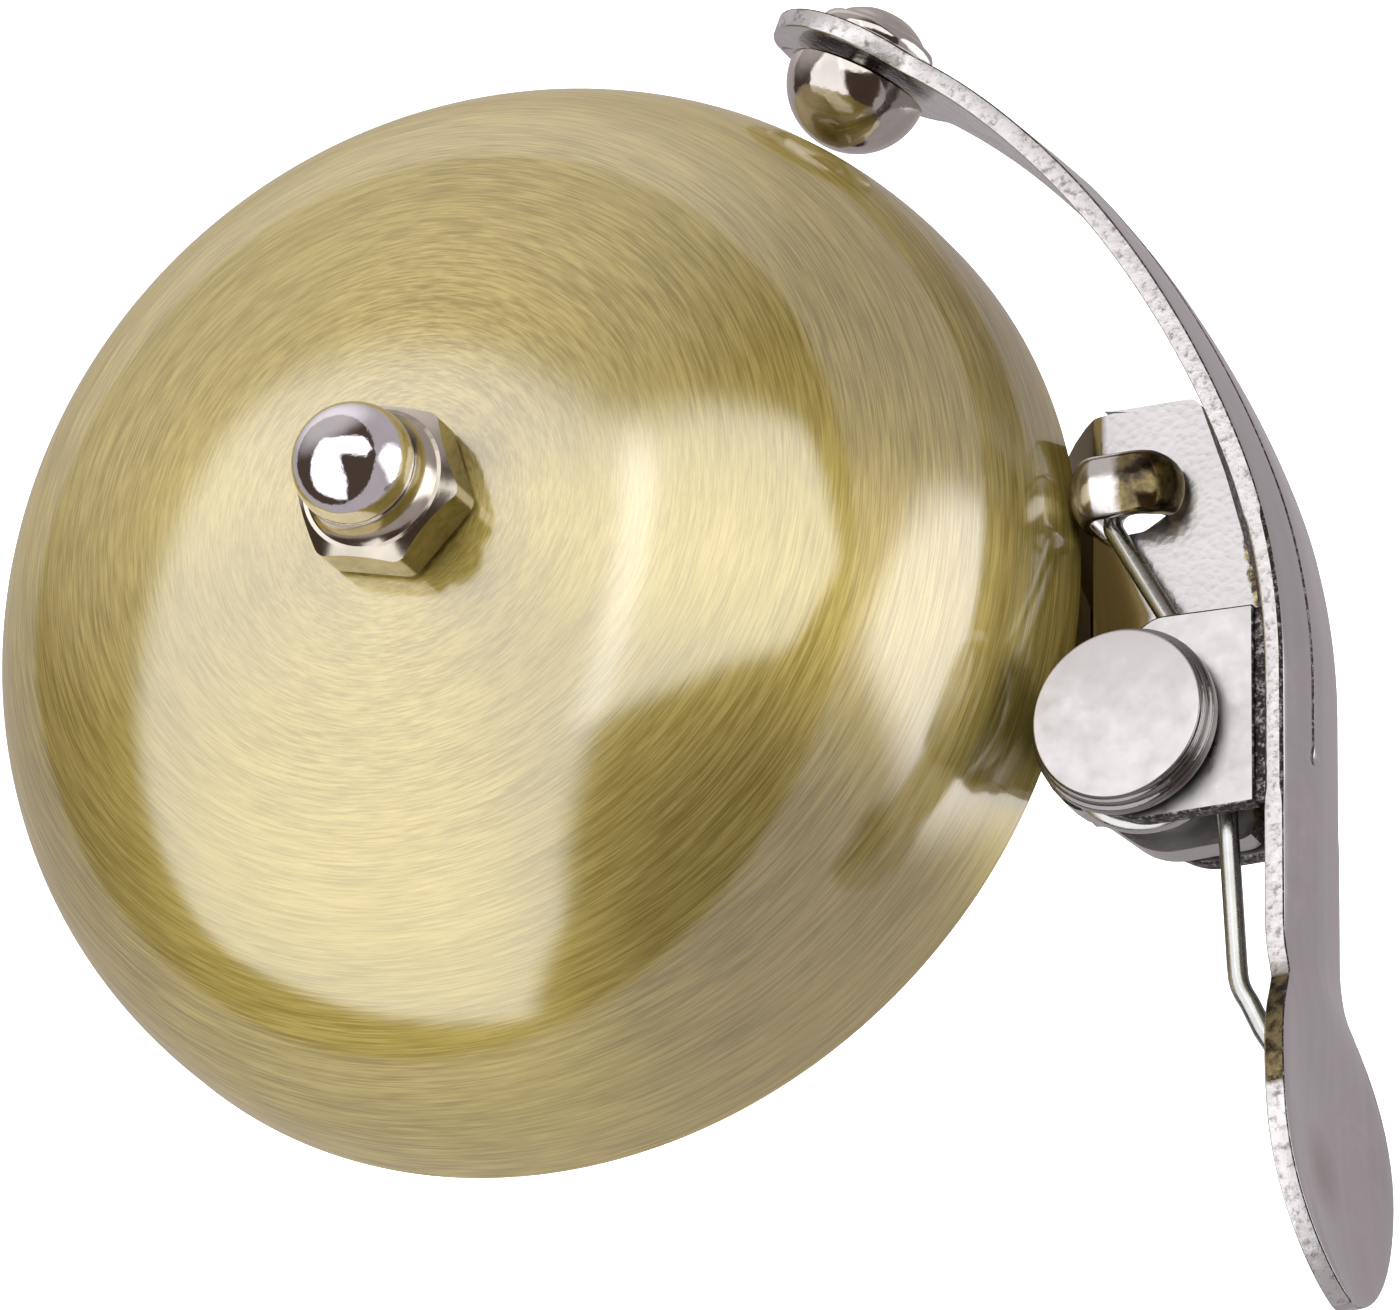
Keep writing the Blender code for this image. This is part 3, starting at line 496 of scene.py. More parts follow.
def sheared_edge():
    """The cut edge of the sheet: bright plate over the coarse tear of the shear, mottled dark bronze on a
    stretch below the ears.
    """
    n = Nodes("sheared_edge")
    tear = n.noise(2300, 5.0, 0.75)
    height = n.plus(n.times(n.cells(1500), 0.5), tear)
    plate = n.mix(n.fit(tear, 0.52, 0.66, 0, 0.75), (0.68, 0.665, 0.655), (0.16, 0.145, 0.13))
    ragged = n.plus(n.xyz()[1], n.times(n.noise(1500, 3.0, 0.7), 0.5 * MM))
    bronze_stretch = n.times(n.fit(ragged, -24.4 * MM, -24.6 * MM), n.fit(ragged, -31.3 * MM, -31.0 * MM))
    bronze = n.mottled(1100, 0.7, 0.42, 0.60, (0.045, 0.036, 0.028), (0.30, 0.24, 0.12))
    n.set(Base_Color=n.mix(bronze_stretch, plate, bronze), Roughness=n.fit(tear, 0.3, 0.7, 0.24, 0.5),
          Normal=n.bump(height, 0.55, 0.07 * MM), Metallic=1.0)
    return n.material


def polished_chrome():
    n = Nodes("nut_chrome")
    haze = n.noise(700, 4.0, 0.6)
    n.set(Base_Color=n.mix(n.fit(haze, 0.4, 0.7, 0, 0.3), (0.78, 0.76, 0.78), (0.60, 0.57, 0.58)),
          Roughness=n.fit(haze, 0.35, 0.75, 0.035, 0.09),
          Normal=n.bump(n.noise(900, 4.0, 0.6), 0.35, 0.06 * MM), Metallic=1.0)
    return n.material


def drawn_wire():
    n = Nodes("spring_wire")
    scratches = n.noise(5000, 3.0, 0.7)
    n.set(Base_Color=n.mix(n.fit(n.noise(300), 0.35, 0.65), (0.42, 0.43, 0.42), (0.56, 0.56, 0.54)),
          Roughness=n.fit(scratches, 0.3, 0.7, 0.14, 0.3),
          Normal=n.bump(scratches, 0.12, 0.01 * MM), Metallic=1.0)
    return n.material


def turned_steel(name, colour, rough):
    """Steel with fine turning marks round the object's axis and a little haze."""
    n = Nodes(name)
    marks = n.noise(1.0, 3.0, 0.6, n.vector(n.times(n.xyz()[2], 9000), 0.0, 3.0))
    haze = n.noise(500, 4.0, 0.6)
    darker = tuple(c * 0.72 for c in colour)
    n.set(Base_Color=n.mix(n.fit(haze, 0.35, 0.7, 0, 0.6), colour, darker),
          Roughness=n.fit(haze, 0.3, 0.7, rough * 0.8, rough * 1.35),
          Normal=n.bump(marks, 0.18, 0.012 * MM), Metallic=1.0)
    return n.material


def rubber():
    n = Nodes("liner_rubber")
    grain = n.noise(2600, 5.0, 0.7)
    n.set(Base_Color=n.mix(n.fit(n.noise(120), 0.3, 0.7), (0.018, 0.018, 0.019), (0.045, 0.044, 0.043)),
          Roughness=n.fit(grain, 0.3, 0.7, 0.6, 0.85), Normal=n.bump(grain, 0.35, 0.05 * MM))
    return n.material


def red_fibre():
    n = Nodes("fibre_red")
    fibres = n.noise(1.0, 4.0, 0.6, n.vector(*[n.times(p, 1600) for p in n.polar()]))
    n.set(Base_Color=n.mix(fibres, (0.30, 0.085, 0.045), (0.50, 0.19, 0.11)),
          Roughness=n.fit(fibres, 0.3, 0.7, 0.55, 0.8), Normal=n.bump(fibres, 0.3, 0.04 * MM))
    return n.material


BRASS = brushed_brass()
CHROME = polished_chrome()
# The hex and its shoulder take a darker, warmer copy of the cap's plating: painted shade on the nut's sides.
NUT_BODY = plated("nut_body", (0.60, 0.55, 0.46), 0.13, pebble=0.10, pebble_scale=1500, dirt=1.0)
NICKEL = plated("nickel_plate", (0.56, 0.53, 0.545), 0.16, dirt=0.35)
LEVER_FACE = plated("lever_face", (0.56, 0.535, 0.54), 0.16, dirt=0.35, painted_reflection_at=PAINTED_REFLECTION_SPOT)
NICKEL_SATIN = plated("nickel_satin", (0.575, 0.562, 0.552), 0.34, dirt=0.1)
NICKEL_PEBBLED = plated("nickel_pebbled", (0.62, 0.605, 0.595), 0.24, pebble=0.3)
PLATE = plate_finish()
PAINTED_EDGE_SHADE = paint_edge_shade()
FINGER = finger_finish()
PIN_FACE = plated("pin_face", (0.575, 0.562, 0.552), 0.36, dirt=0.06)
HAMMER = plated("hammer_plate", (0.60, 0.56, 0.51), 0.10, pebble=0.22, pebble_scale=1900, dirt=0.9)
SHEARED = sheared_edge()
RIM_DARK = plated("pin_rim", (0.30, 0.28, 0.275), 0.14, pebble=0.12, dirt=0.8)
WIRE = drawn_wire()
STEEL = turned_steel("turned_steel", (0.62, 0.62, 0.63), 0.3)
ZINC = turned_steel("zinc_plate", (0.66, 0.68, 0.70), 0.36)
SPRING_STEEL = turned_steel("blued_spring_steel", (0.36, 0.37, 0.38), 0.3)
RUBBER = rubber()
FIBRE = red_fibre()

# ---------------------------------------------------------------- gong


GONG_WALL = 1.3 * MM
GONG_HOLE = 2.4 * MM
DOME_POWER = 2 / 2.438
DOME_SWELL = 0.029
DOME_SKEW = 0.041
DOME_RISE = 0.671
DOME_LIFT = 0.040


def dome_point(angle):
    """Outer face of the gong, as in the CAD: a flattened superellipse whose crown is at angle zero."""
    double = math.sin(2 * angle) ** 2
    swell = 1 + DOME_SWELL * double + DOME_SKEW * double * math.cos(2 * angle)
    radius = math.sin(angle) ** DOME_POWER * swell
    height = DOME_RISE * math.cos(angle) ** DOME_POWER * swell + DOME_LIFT
    return Vector((radius, height)) * DOME_RADIUS


def dome_line(offset, count=64):
    """The gong's profile, set inwards by an offset, from its hole to just above its rim."""
    points = []
    nudge = 0.002
    first_angle = 0.10
    last_angle = math.pi / 2 - 0.03
    for i in range(count + 1):
        angle = first_angle + (last_angle - first_angle) * i / count
        along = (dome_point(angle + nudge) - dome_point(angle - nudge)).normalized()
        inward = Vector((along.y, -along.x))
        point = dome_point(angle) + inward * offset
        points.append((point.x, min(RIM_Z + point.y, DOME_TOP - offset)))
    return points


def make_gong():
    edge = 0.25 * MM
    profile = [(GONG_HOLE, DOME_TOP - edge), (GONG_HOLE + 0.4 * edge, DOME_TOP)]
    profile += dome_line(0)
    profile += [(DOME_RADIUS, RIM_Z + 1.1 * edge)]
    profile += arc((DOME_RADIUS - edge, RIM_Z + edge), edge, 0, -90, 4)
    profile += arc((DOME_RADIUS - GONG_WALL + edge, RIM_Z + edge), edge, -90, -180, 4)
    profile += list(reversed(dome_line(GONG_WALL)))
    profile += [(GONG_HOLE, DOME_TOP - GONG_WALL)]
    obj = add_object("gong", mesh_from("gong", turned(profile, 240)), "base", [BRASS])
    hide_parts("dome")


# ---------------------------------------------------------------- crown nut

NUT_FLATS = 7.7 * MM
NUT_TURN = math.radians(-13.5)
NUT_HEX_HEIGHT = 2.6 * MM
NUT_BALL = 3.0 * MM
NUT_BORE = 2.3 * MM
NUT_BORE_DEPTH = 4.8 * MM
NUT_SHOULDER = 3.62 * MM
CHAMFER_FALL = 0.6 * MM
HEX_POWER = 46


def make_nut():
    """Hex with rounded corners and a chamfered shoulder, a short neck and the round cap."""
    seat = nut_low.z
    hex_top = seat + NUT_HEX_HEIGHT
    worn_corner_and_painted_nose = NUT_FLATS / math.sqrt(3) - 0.12 * MM
    slope = CHAMFER_FALL / (worn_corner_and_painted_nose - NUT_SHOULDER)
    angles = [2 * math.pi * j / 144 for j in range(144)]

    def hex_radius(angle):
        total = 0.0
        for k in range(6):
            flat = math.cos(angle - NUT_TURN - math.radians(30 + 60 * k))
            total += max(0.0, flat / (NUT_FLATS / 2)) ** HEX_POWER
        return min(total ** (-1 / HEX_POWER), worn_corner_and_painted_nose)

    def chamfer(reach):
        return hex_top - (reach - NUT_SHOULDER) * slope

    cap = arc((0, nut_high.z - NUT_BALL), NUT_BALL, 90, -12, 30)[1:]
    neck = [(radius * MM, hex_top + rise * MM)
            for radius, rise in ((3.02, 0.75), (3.12, 0.45), (3.32, 0.16), (3.42, 0.02))]
    neck.append((NUT_SHOULDER, hex_top))
    places = [[(radius, angle, z) for angle in angles] for radius, z in cap + neck]
    hexagon = [hex_radius(angle) for angle in angles]
    for part in (0.25, 0.5, 0.75, 1.0):
        reaches = [NUT_SHOULDER + (reach - NUT_SHOULDER) * part for reach in hexagon]
        places.append([(reach, angle, chamfer(reach)) for reach, angle in zip(reaches, angles)])
    corner = 0.06 * MM
    foot = 0.1 * MM
    places.append([(reach, angle, chamfer(reach) - corner) for reach, angle in zip(hexagon, angles)])
    places.append([(reach, angle, seat + foot) for reach, angle in zip(hexagon, angles)])
    places.append([(reach - foot, angle, seat) for reach, angle in zip(hexagon, angles)])
    bore = ((NUT_BORE + 0.2 * MM, seat), (NUT_BORE, seat + 0.25 * MM), (NUT_BORE, seat + NUT_BORE_DEPTH))
    places += [[(radius, angle, z) for angle in angles] for radius, z in bore]

    shape = bmesh.new()
    rings = [[shape.verts.new((r * math.cos(a), r * math.sin(a), z)) for r, a, z in ring] for ring in places]
    for i, (first, second) in enumerate(zip(rings, rings[1:])):
        for j, vertex in enumerate(first):
            face = shape.faces.new((vertex, second[j], second[j - 1], first[j - 1]))
            face.material_index = 0 if i < len(cap) - 1 else 1
    for ring, z in ((rings[0], nut_high.z), (rings[-1], seat + NUT_BORE_DEPTH + 0.2 * MM)):
        tip = shape.verts.new((0, 0, z))
        for j, vertex in enumerate(ring):
            shape.faces.new((tip, vertex, ring[j - 1]))
    obj = add_object("crown_nut", mesh_from("crown_nut", shape), "base", [CHROME, NUT_BODY], 28)
    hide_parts("acorn_nut")


# ---------------------------------------------------------------- lever

LEVER_X = 39.7 * MM
KNEE_Y = -20.5 * MM
ARM_BENDS = ((11.6, 0), (12.0, 20), (12.0, 12), (12.0, 14), (14.8, 25))
PADDLE_BENDS = ((1.2, 0), (2.6, 12.5), (8.5, -10.5), (7.5, 6))
PAD_RADIUS = 4.9 * MM
PADDLE_HALF_WIDTH = 7.2 * MM
PADDLE_HALF_LENGTH = 8.3 * MM
PADDLE_DISH = 0.6 * MM


def walk(start, heading, bends, step=0.25):
    """Follow bends of (length in millimetres, turn in degrees); give (x, y, heading) at even steps."""
    x, y = start
    stations = [(x, y, heading)]
    for length, turn in bends:
        count = max(1, round(length / step))
        for _ in range(count):
            heading += math.radians(turn) / count / 2
            x += math.cos(heading) * length / count * MM
            y += math.sin(heading) * length / count * MM
            heading += math.radians(turn) / count / 2
            stations.append((x, y, heading))
    return stations


def lever_stations():
    """Points and outward normals along the lever's outer face, from the pad's tip to the paddle's."""
    knee = (LEVER_X, KNEE_Y)
    upward = walk(knee, math.radians(90), ARM_BENDS)
    downward = walk(knee, math.radians(-90), PADDLE_BENDS)
    stations = [(Vector((x, y)), Vector((math.sin(h), -math.cos(h)))) for x, y, h in reversed(upward)]
    stations += [(Vector((x, y)), Vector((-math.sin(h), math.cos(h)))) for x, y, h in downward[1:]]
    return stations


STATIONS = lever_stations()
LENGTHS = [0.0]
for (here, _), (there, _) in zip(STATIONS, STATIONS[1:]):
    LENGTHS.append(LENGTHS[-1] + (there - here).length)
TOTAL = LENGTHS[-1]


ARM_HALF_WIDTH = 3.3 * MM
WIDEN_OVER = 26 * MM
OUTLINE_BLEND = 7
RIDGE_RISE = 0.35 * MM
CREASE_DEPTH = 0.07 * MM
CREASE_HALF_WIDTH = 0.11 * MM
CREASE_SHIFT = 0.55 * MM
CREASE_START = 9 * MM
CREASE_END = TOTAL - 27.8 * MM
DIMPLE_DEPTH = 0.10 * MM
DIMPLE_RADIUS = 0.34 * MM
EAR_SPAN = (TOTAL - 39.9 * MM, TOTAL - 24.6 * MM)


def lever_at(s):
    """Point and outward normal at a distance along the lever from the pad's tip."""
    i = 0
    while i < len(LENGTHS) - 2 and s > LENGTHS[i + 1]:
        i += 1
    share = (s - LENGTHS[i]) / (LENGTHS[i + 1] - LENGTHS[i])
    (first, first_out), (second, second_out) = STATIONS[i:i + 2]
    return first.lerp(second, share), first_out.lerp(second_out, share).normalized()


def half_width(s):
    pad = PAD_RADIUS * math.sqrt(max(0.0, 1 - ((s - PAD_RADIUS) / PAD_RADIUS) ** 2))
    arm = ARM_HALF_WIDTH + (LEVER_WIDTH / 2 - ARM_HALF_WIDTH) * ease((s - PAD_RADIUS) / WIDEN_OVER)
    arm *= limit(s / (2 * PAD_RADIUS)) ** 0.5
    t = (s - (TOTAL - PADDLE_HALF_LENGTH)) / PADDLE_HALF_LENGTH
    paddle = PADDLE_HALF_WIDTH * max(0.0, 1 - t * t) ** (0.5 if t < 0 else 0.65)
    if t > 0:
        return paddle
    return (pad ** OUTLINE_BLEND + arm ** OUTLINE_BLEND + paddle ** OUTLINE_BLEND) ** (1 / OUTLINE_BLEND)


def swell(s, across, width):
    """How far a face stands out from its edges: a ridge along arm and shank, a dish in the paddle."""
    ridge = RIDGE_RISE * limit((s - 12 * MM) / (8 * MM))
    share = ease((s - (TOTAL - 16 * MM)) / (7 * MM))
    dish = PADDLE_DISH * share * width / PADDLE_HALF_WIDTH
    return ridge * (1 - share) * (1 - abs(across) ** 1.4) - dish * (1 - across * across) ** 1.5


def crease(s, z):
    """Depth of the fine crease along the outer face and of the dimple at its end."""
    depth = CREASE_DEPTH * limit((s - CREASE_START) / (6 * MM)) * limit((CREASE_END - s) / (0.4 * MM))
    aside = z - CREASE_SHIFT
    line = math.exp(-(aside / CREASE_HALF_WIDTH) ** 2)
    away = (s - CREASE_END) ** 2 + aside ** 2
    return depth * line + DIMPLE_DEPTH * math.exp(-away / DIMPLE_RADIUS ** 2)


def lever_distances():
    """Where the lever's sections stand: close together at both tips and at the crease's end."""
    gap = 0.01 * MM
    distances = [PAD_RADIUS * (1 - math.cos(math.radians(a))) + gap for a in range(4, 91, 6)]
    straight_end = TOTAL - PADDLE_HALF_LENGTH * 1.9
    first = distances[-1]
    count = 110
    distances += [first + (straight_end - first) * i / count for i in range(1, count + 1)]
    last = distances[-1]
    reach = TOTAL - 2 * gap - last
    distances += [last + reach * math.sin(math.radians(a)) ** 0.9 for a in range(3, 90, 3)]
    distances += [CREASE_END + k * 0.12 * MM for k in range(-6, 7)]
    return sorted(distances)


def section(s):
    """One closed section of the lever: (offset along the normal, level) on its outer and its inner face."""
    width = half_width(s)
    near_tip = min(s, TOTAL - s)
    tip = 0.12 * MM
    folded = limit((s - EAR_SPAN[0]) / (0.5 * MM)) * limit((EAR_SPAN[1] - s) / (0.5 * MM))
    round_by = min((0.08 + 0.12 * folded) * MM, 0.55 * width)
    pinch = tip * (1 - math.sqrt(max(0.0, 1 - (1 - min(near_tip / tip, 1)) ** 2)))
    inner_part = width - round_by
    rim = [inner_part + round_by * math.sin(math.radians(a)) for a in (30, 60, 90)]
    spread = [inner_part * f for f in (0.24, 0.32, 0.44, 0.58, 0.72, 0.86, 1)]
    fine = [CREASE_SHIFT + f * MM for f in (-0.24, -0.15, -0.07, 0, 0.07, 0.15, 0.24)]
    fine = [f if width > 1.6 * MM else f * width / (3 * MM) for f in fine]
    levels = [-z for z in reversed(spread + rim)] + fine + spread + rim
    outer, inner = [], []
    for z in levels:
        beyond = max(0.0, abs(z) - inner_part) / round_by
        drop = round_by * (1 - math.sqrt(max(0.0, 1 - beyond * beyond))) + pinch
        height = swell(s, z / width, width)
        outer.append((height - crease(s, z) - drop, z))
        inner.append((height - SHEET + drop, z))
    return outer, list(reversed(inner))


def make_lever():
    """The bent strip, whose cut edges have a material of their own and whose rounded borders and crease are
    painted dark as shade, and its two folded ears.
    """
    shape = bmesh.new()
    rows = []
    distances = lever_distances()
    for s in distances:
        place, normal = lever_at(s)
        outer, inner = section(s)
        row = []
        for offset, z in outer + inner:
            p = place + normal * offset
            row.append(shape.verts.new((p.x, p.y, LEVER_MID + z)))
        rows.append(row)
    count = len(rows[0])
    half = count // 2
    crease_level = LEVER_MID + CREASE_SHIFT
    for s, first, second in zip(distances, rows, rows[1:]):
        creased = CREASE_START < s < CREASE_END + 0.3 * MM
        for j in range(count):
            k = (j + 1) % count
            face = shape.faces.new((first[j], first[k], second[k], second[j]))
            beside_crease = abs((first[j].co.z + first[k].co.z) / 2 - crease_level)
            # Painted shade: the outer face's rounded borders and the faces along the crease and its dimple
            # take the dark edge colour.
            if j in (half - 1, count - 1):
                face.material_index = 1
            elif j in (0, 1, half - 2, half - 3):
                face.material_index = 3
            elif j >= half:
                face.material_index = 2
            elif creased and beside_crease < 0.16 * MM:
                face.material_index = 3
    shape.faces.new(rows[0])
    shape.faces.new(list(reversed(rows[-1])))
    obj = add_object("lever_stamping", mesh_from("lever_stamping", shape), "thumb_lever",
                     [LEVER_FACE, SHEARED, NICKEL_PEBBLED, PAINTED_EDGE_SHADE], 40)
    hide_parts("lever")

    inner = (LEVER_X - SHEET) / MM
    fold = inner - 0.5
    root = [(fold, -15.62, 0.1), (fold, -5.5, 0.1)]
    near = root + [(33.2, -5.4, 1.6), (27.9, -8.6, 3.4), (28.4, -14.0, 3.6), (32.2, -15.7, 3.0)]
    far = root + [(33.8, -5.6, 2.6), (28.9, -8.9, 2.8), (29.2, -13.6, 3.0), (33.0, -15.7, 3.0)]
    neck = [(fold - 0.3, -15.5, 0), (inner + 0.3, -15.5, 0), (inner + 0.3, -5.6, 0), (fold - 0.3, -5.6, 0)]
    lap = 0.02 * MM
    neck_lap = 0.3 * MM
    for name, corners, low in (("near_ear", near, NEAR_FACE - SHEET), ("far_ear", far, FAR_FACE)):
        # Painted shade: the ears' cut sides and bevelled edges, and the whole of each fold, take the dark
        # edge colour.
        ear = sided(name, rounded(corners), low + lap, low + SHEET - lap, [NICKEL_SATIN, PAINTED_EDGE_SHADE])
        bevel(ear, EDGE_BEVEL).material = 1
        sided(name + "_fold", rounded(neck), low + neck_lap, low + SHEET - neck_lap, [PAINTED_EDGE_SHADE, PAINTED_EDGE_SHADE])


def sided(name, outline, low, high, materials):
    """A flat stamping whose cut sides take the second material."""
    shape = slab(outline, low, high)
    bmesh.ops.recalc_face_normals(shape, faces=shape.faces)
    for face in shape.faces:
        face.material_index = 0 if abs(face.normal.z) > 0.5 else 1
    return add_object(name, mesh_from(name, shape), "thumb_lever", materials, 30)


# ---------------------------------------------------------------- hammer


def hammer_frame():
    """Origin on the pad's outer face, +Z along its outward normal."""
    place, normal = lever_at(PAD_RADIUS)
    side = Vector((0, 0, 1))
    out = Vector((normal.x, normal.y, 0))
    turn = Matrix((side, out.cross(side), out)).transposed().to_4x4()
    return Matrix.Translation((place.x, place.y, LEVER_MID)) @ turn


BALL_RADIUS = 3.5 * MM
BALL_SINK = 0.65 * MM


def make_hammer():
    """The striker against the pad's inner face, and its rivet with a brim left uneven by the peening."""
    middle = -SHEET - BALL_SINK
    top = -SHEET - FIT_GAP
    start = math.degrees(math.asin((top - 0.28 * MM - middle) / BALL_RADIUS))
    profile = [(0.0, top), (2.75 * MM, top), (3.0 * MM, top - 0.05 * MM), (3.28 * MM, top - 0.16 * MM)]
    profile += arc((0, middle), BALL_RADIUS, start, -90, 40)[:-1]
    profile.append((0.0, middle - BALL_RADIUS))
    shape = turned(profile, 96)
    shape.transform(hammer_frame())
    obj = add_object("striker", mesh_from("striker", shape), "thumb_lever", [HAMMER], 40)
    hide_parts("hammer_ball")

    def peened(radius, height, angle):
        if radius > 2.0 * MM:
            return radius * (1 + 0.008 * math.cos(7 * angle)), height - 0.02 * MM * math.cos(7 * angle + 0.8)
        return radius, height

    seat = FIT_GAP / MM
    head = ((0.0, seat + 1.88, 0), (1.1, seat + 1.78, 0.6), (1.95, seat + 1.3, 0.5), (2.35, seat + 0.9, 0.3),
            (2.75, seat + 0.82, 0.2), (3.0, seat + 0.45, 0.3), (2.95, seat, 0.1), (1.0, seat, 0),
            (1.0, -3.2, 0), (0.0, -3.2, 0))
    head = soften([tuple(value * MM for value in corner) for corner in head])
    shape = turned(head, 132, peened)
    shape.transform(hammer_frame())
    obj = add_object("rivet", mesh_from("rivet", shape), "thumb_lever", [HAMMER], 50)
    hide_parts("hammer_rivet")


# ---------------------------------------------------------------- pivot pin and spring


PIN_RADIUS = 2.0 * MM
WIRE_RADIUS = 0.5 * MM
WIRE_LEVEL = PLATE_TOP + 0.7 * MM
COIL_RADIUS = 3.95 * MM
COIL_PITCH = 1.06 * MM
COIL_START = math.radians(30)
COIL_END = math.radians(2 - 360)
LEG_RISE = 1.15 * MM
HOOK_LEG = 11.6 * MM
HOOK_RADIUS = 0.9 * MM
LEVER_LEG = ((0.1, 3.0, 0.22), (0.3, 9.0, 0.66), (0.40, 12.0, 0.88), (0.44, 12.6, 0.92), (0.52, 13.0, 0.96),
             (0.68, 13.4, 1.0), (0.95, 13.9, 1.1), (1.55, 15.3, 1.3), (2.30, 16.7, 1.42))


def make_pin():
    """Flat-headed pin: a thin bevelled cap over a slightly wider flange."""
    r = PIN_HEAD_RADIUS
    top = pin_high.z
    tail = pin_low.z
    cap = ((0.40, 0, 0.10), (0.36, 0.30, 0.06), (0.22, 0.36, 0.06), (0.20, 0.78, 0.06), (0, 0.86, 0.1))
    profile = [(0.0, top, 0)]
    profile += [(r - inset * MM, top - drop * MM, corner * MM) for inset, drop, corner in cap]
    profile += [(r, PIN_HEAD_LOW, 0.25 * MM), (PIN_RADIUS, PIN_HEAD_LOW, 0), (PIN_RADIUS, tail + 0.4 * MM, 0),
                (PIN_RADIUS - 0.4 * MM, tail, 0.1 * MM), (0.0, tail, 0)]
    shape = turned(soften(profile), 128)
    for face in shape.faces:
        face.material_index = 0 if face.calc_center_median().z > top - 0.02 * MM else 1
    shape.transform(Matrix.Translation(PIVOT))
    obj = add_object("pin", mesh_from("pin", shape), "thumb_lever", [PIN_FACE, RIM_DARK], 32)
    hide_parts("pivot_pin")


def spring_route():
    """Centre line of the spring: the CAD's, in finer steps and with a longer end on the lever's side."""
    leg = Vector((math.sin(COIL_START), -math.cos(COIL_START)))
    side = Vector((math.cos(COIL_START), math.sin(COIL_START)))
    hook_start = PIVOT.xy + side * COIL_RADIUS - leg * HOOK_LEG
    hook = arc(hook_start + side * HOOK_RADIUS, HOOK_RADIUS, math.degrees(COIL_START) + 180, 90, 12)
    points = [Vector((hook[-1][0] + 1.1 * MM, hook[-1][1], WIRE_LEVEL))]
    points += [Vector((x, y, WIRE_LEVEL)) for x, y in reversed(hook)]
    turns = (COIL_START - COIL_END) / (2 * math.pi)
    count = 72
    for i in range(count + 1):
        angle = COIL_START + (COIL_END - COIL_START) * i / count
        spoke = Vector((math.cos(angle), math.sin(angle))) * COIL_RADIUS
        level = WIRE_LEVEL + LEG_RISE + COIL_PITCH * turns * i / count
        points.append(Vector((PIVOT.x + spoke.x, PIVOT.y + spoke.y, level)))
    top = points[-1]
    points += [top + Vector((right, -down, -drop)) * MM for right, down, drop in LEVER_LEG]
    return points


def make_spring():
    route = spring_route()
    shape = bmesh.new()
    sides = 20
    rings = []
    up = Vector((0, 0, 1))
    for i, p in enumerate(route):
        before = route[max(i - 1, 0)]
        after = route[min(i + 1, len(route) - 1)]
        along = (after - before).normalized()
        side = along.cross(up).normalized()
        over = side.cross(along).normalized()
        radius = WIRE_RADIUS * (0.82 if i in (0, len(route) - 1) else 1)
        rings.append([shape.verts.new(p + (side * math.cos(a) + over * math.sin(a)) * radius)
                      for a in (2 * math.pi * j / sides for j in range(sides))])
    skin(shape, rings)
    obj = put_in_scene("spring_wire", mesh_from("spring_wire", shape), [WIRE], 50)
    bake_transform(obj)
    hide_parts("torsion_spring")


# ---------------------------------------------------------------- bracket


HUB_RADIUS = 8.0 * MM
HUB_HOLE = 2.4 * MM
BUSH_HOLE = 2.9 * MM
JOGGLE_START = 26.4 * MM
JOGGLE_END = 28.6 * MM
JOGGLE_LEAN = 0.45 * MM
PLATE_OUTLINE = ((24.0, -11.7, 6), (28.0, -12.9, 3), (31.2, -15.6, 3.5), (36.7, -15.4, 1.2), (37.0, -7.0, 4),
                 (36.5, -2.0, 5), (35.0, 3.6, 3), (33.6, 7.9, 0.8), (29.0, 7.9, 3), (25.6, 8.6, 4))
WINDOW = ((28.5, 1.2, 0.3), (30.8, 1.3, 1.0), (32.5, 2.3, 1.0), (32.3, 5.1, 0.8), (28.5, 5.1, 0.3))
FINGER_LOW_Y = 1.45 * MM
FINGER_HIGH_Y = 4.7 * MM
FINGER_HALF_THICK = 0.5 * MM
FINGER_BULGE = 0.30 * MM
TAB_INNER = 5.3 * MM
TAB_THICKNESS = 1.2 * MM
TAB_HALF_LENGTH = 3 * MM


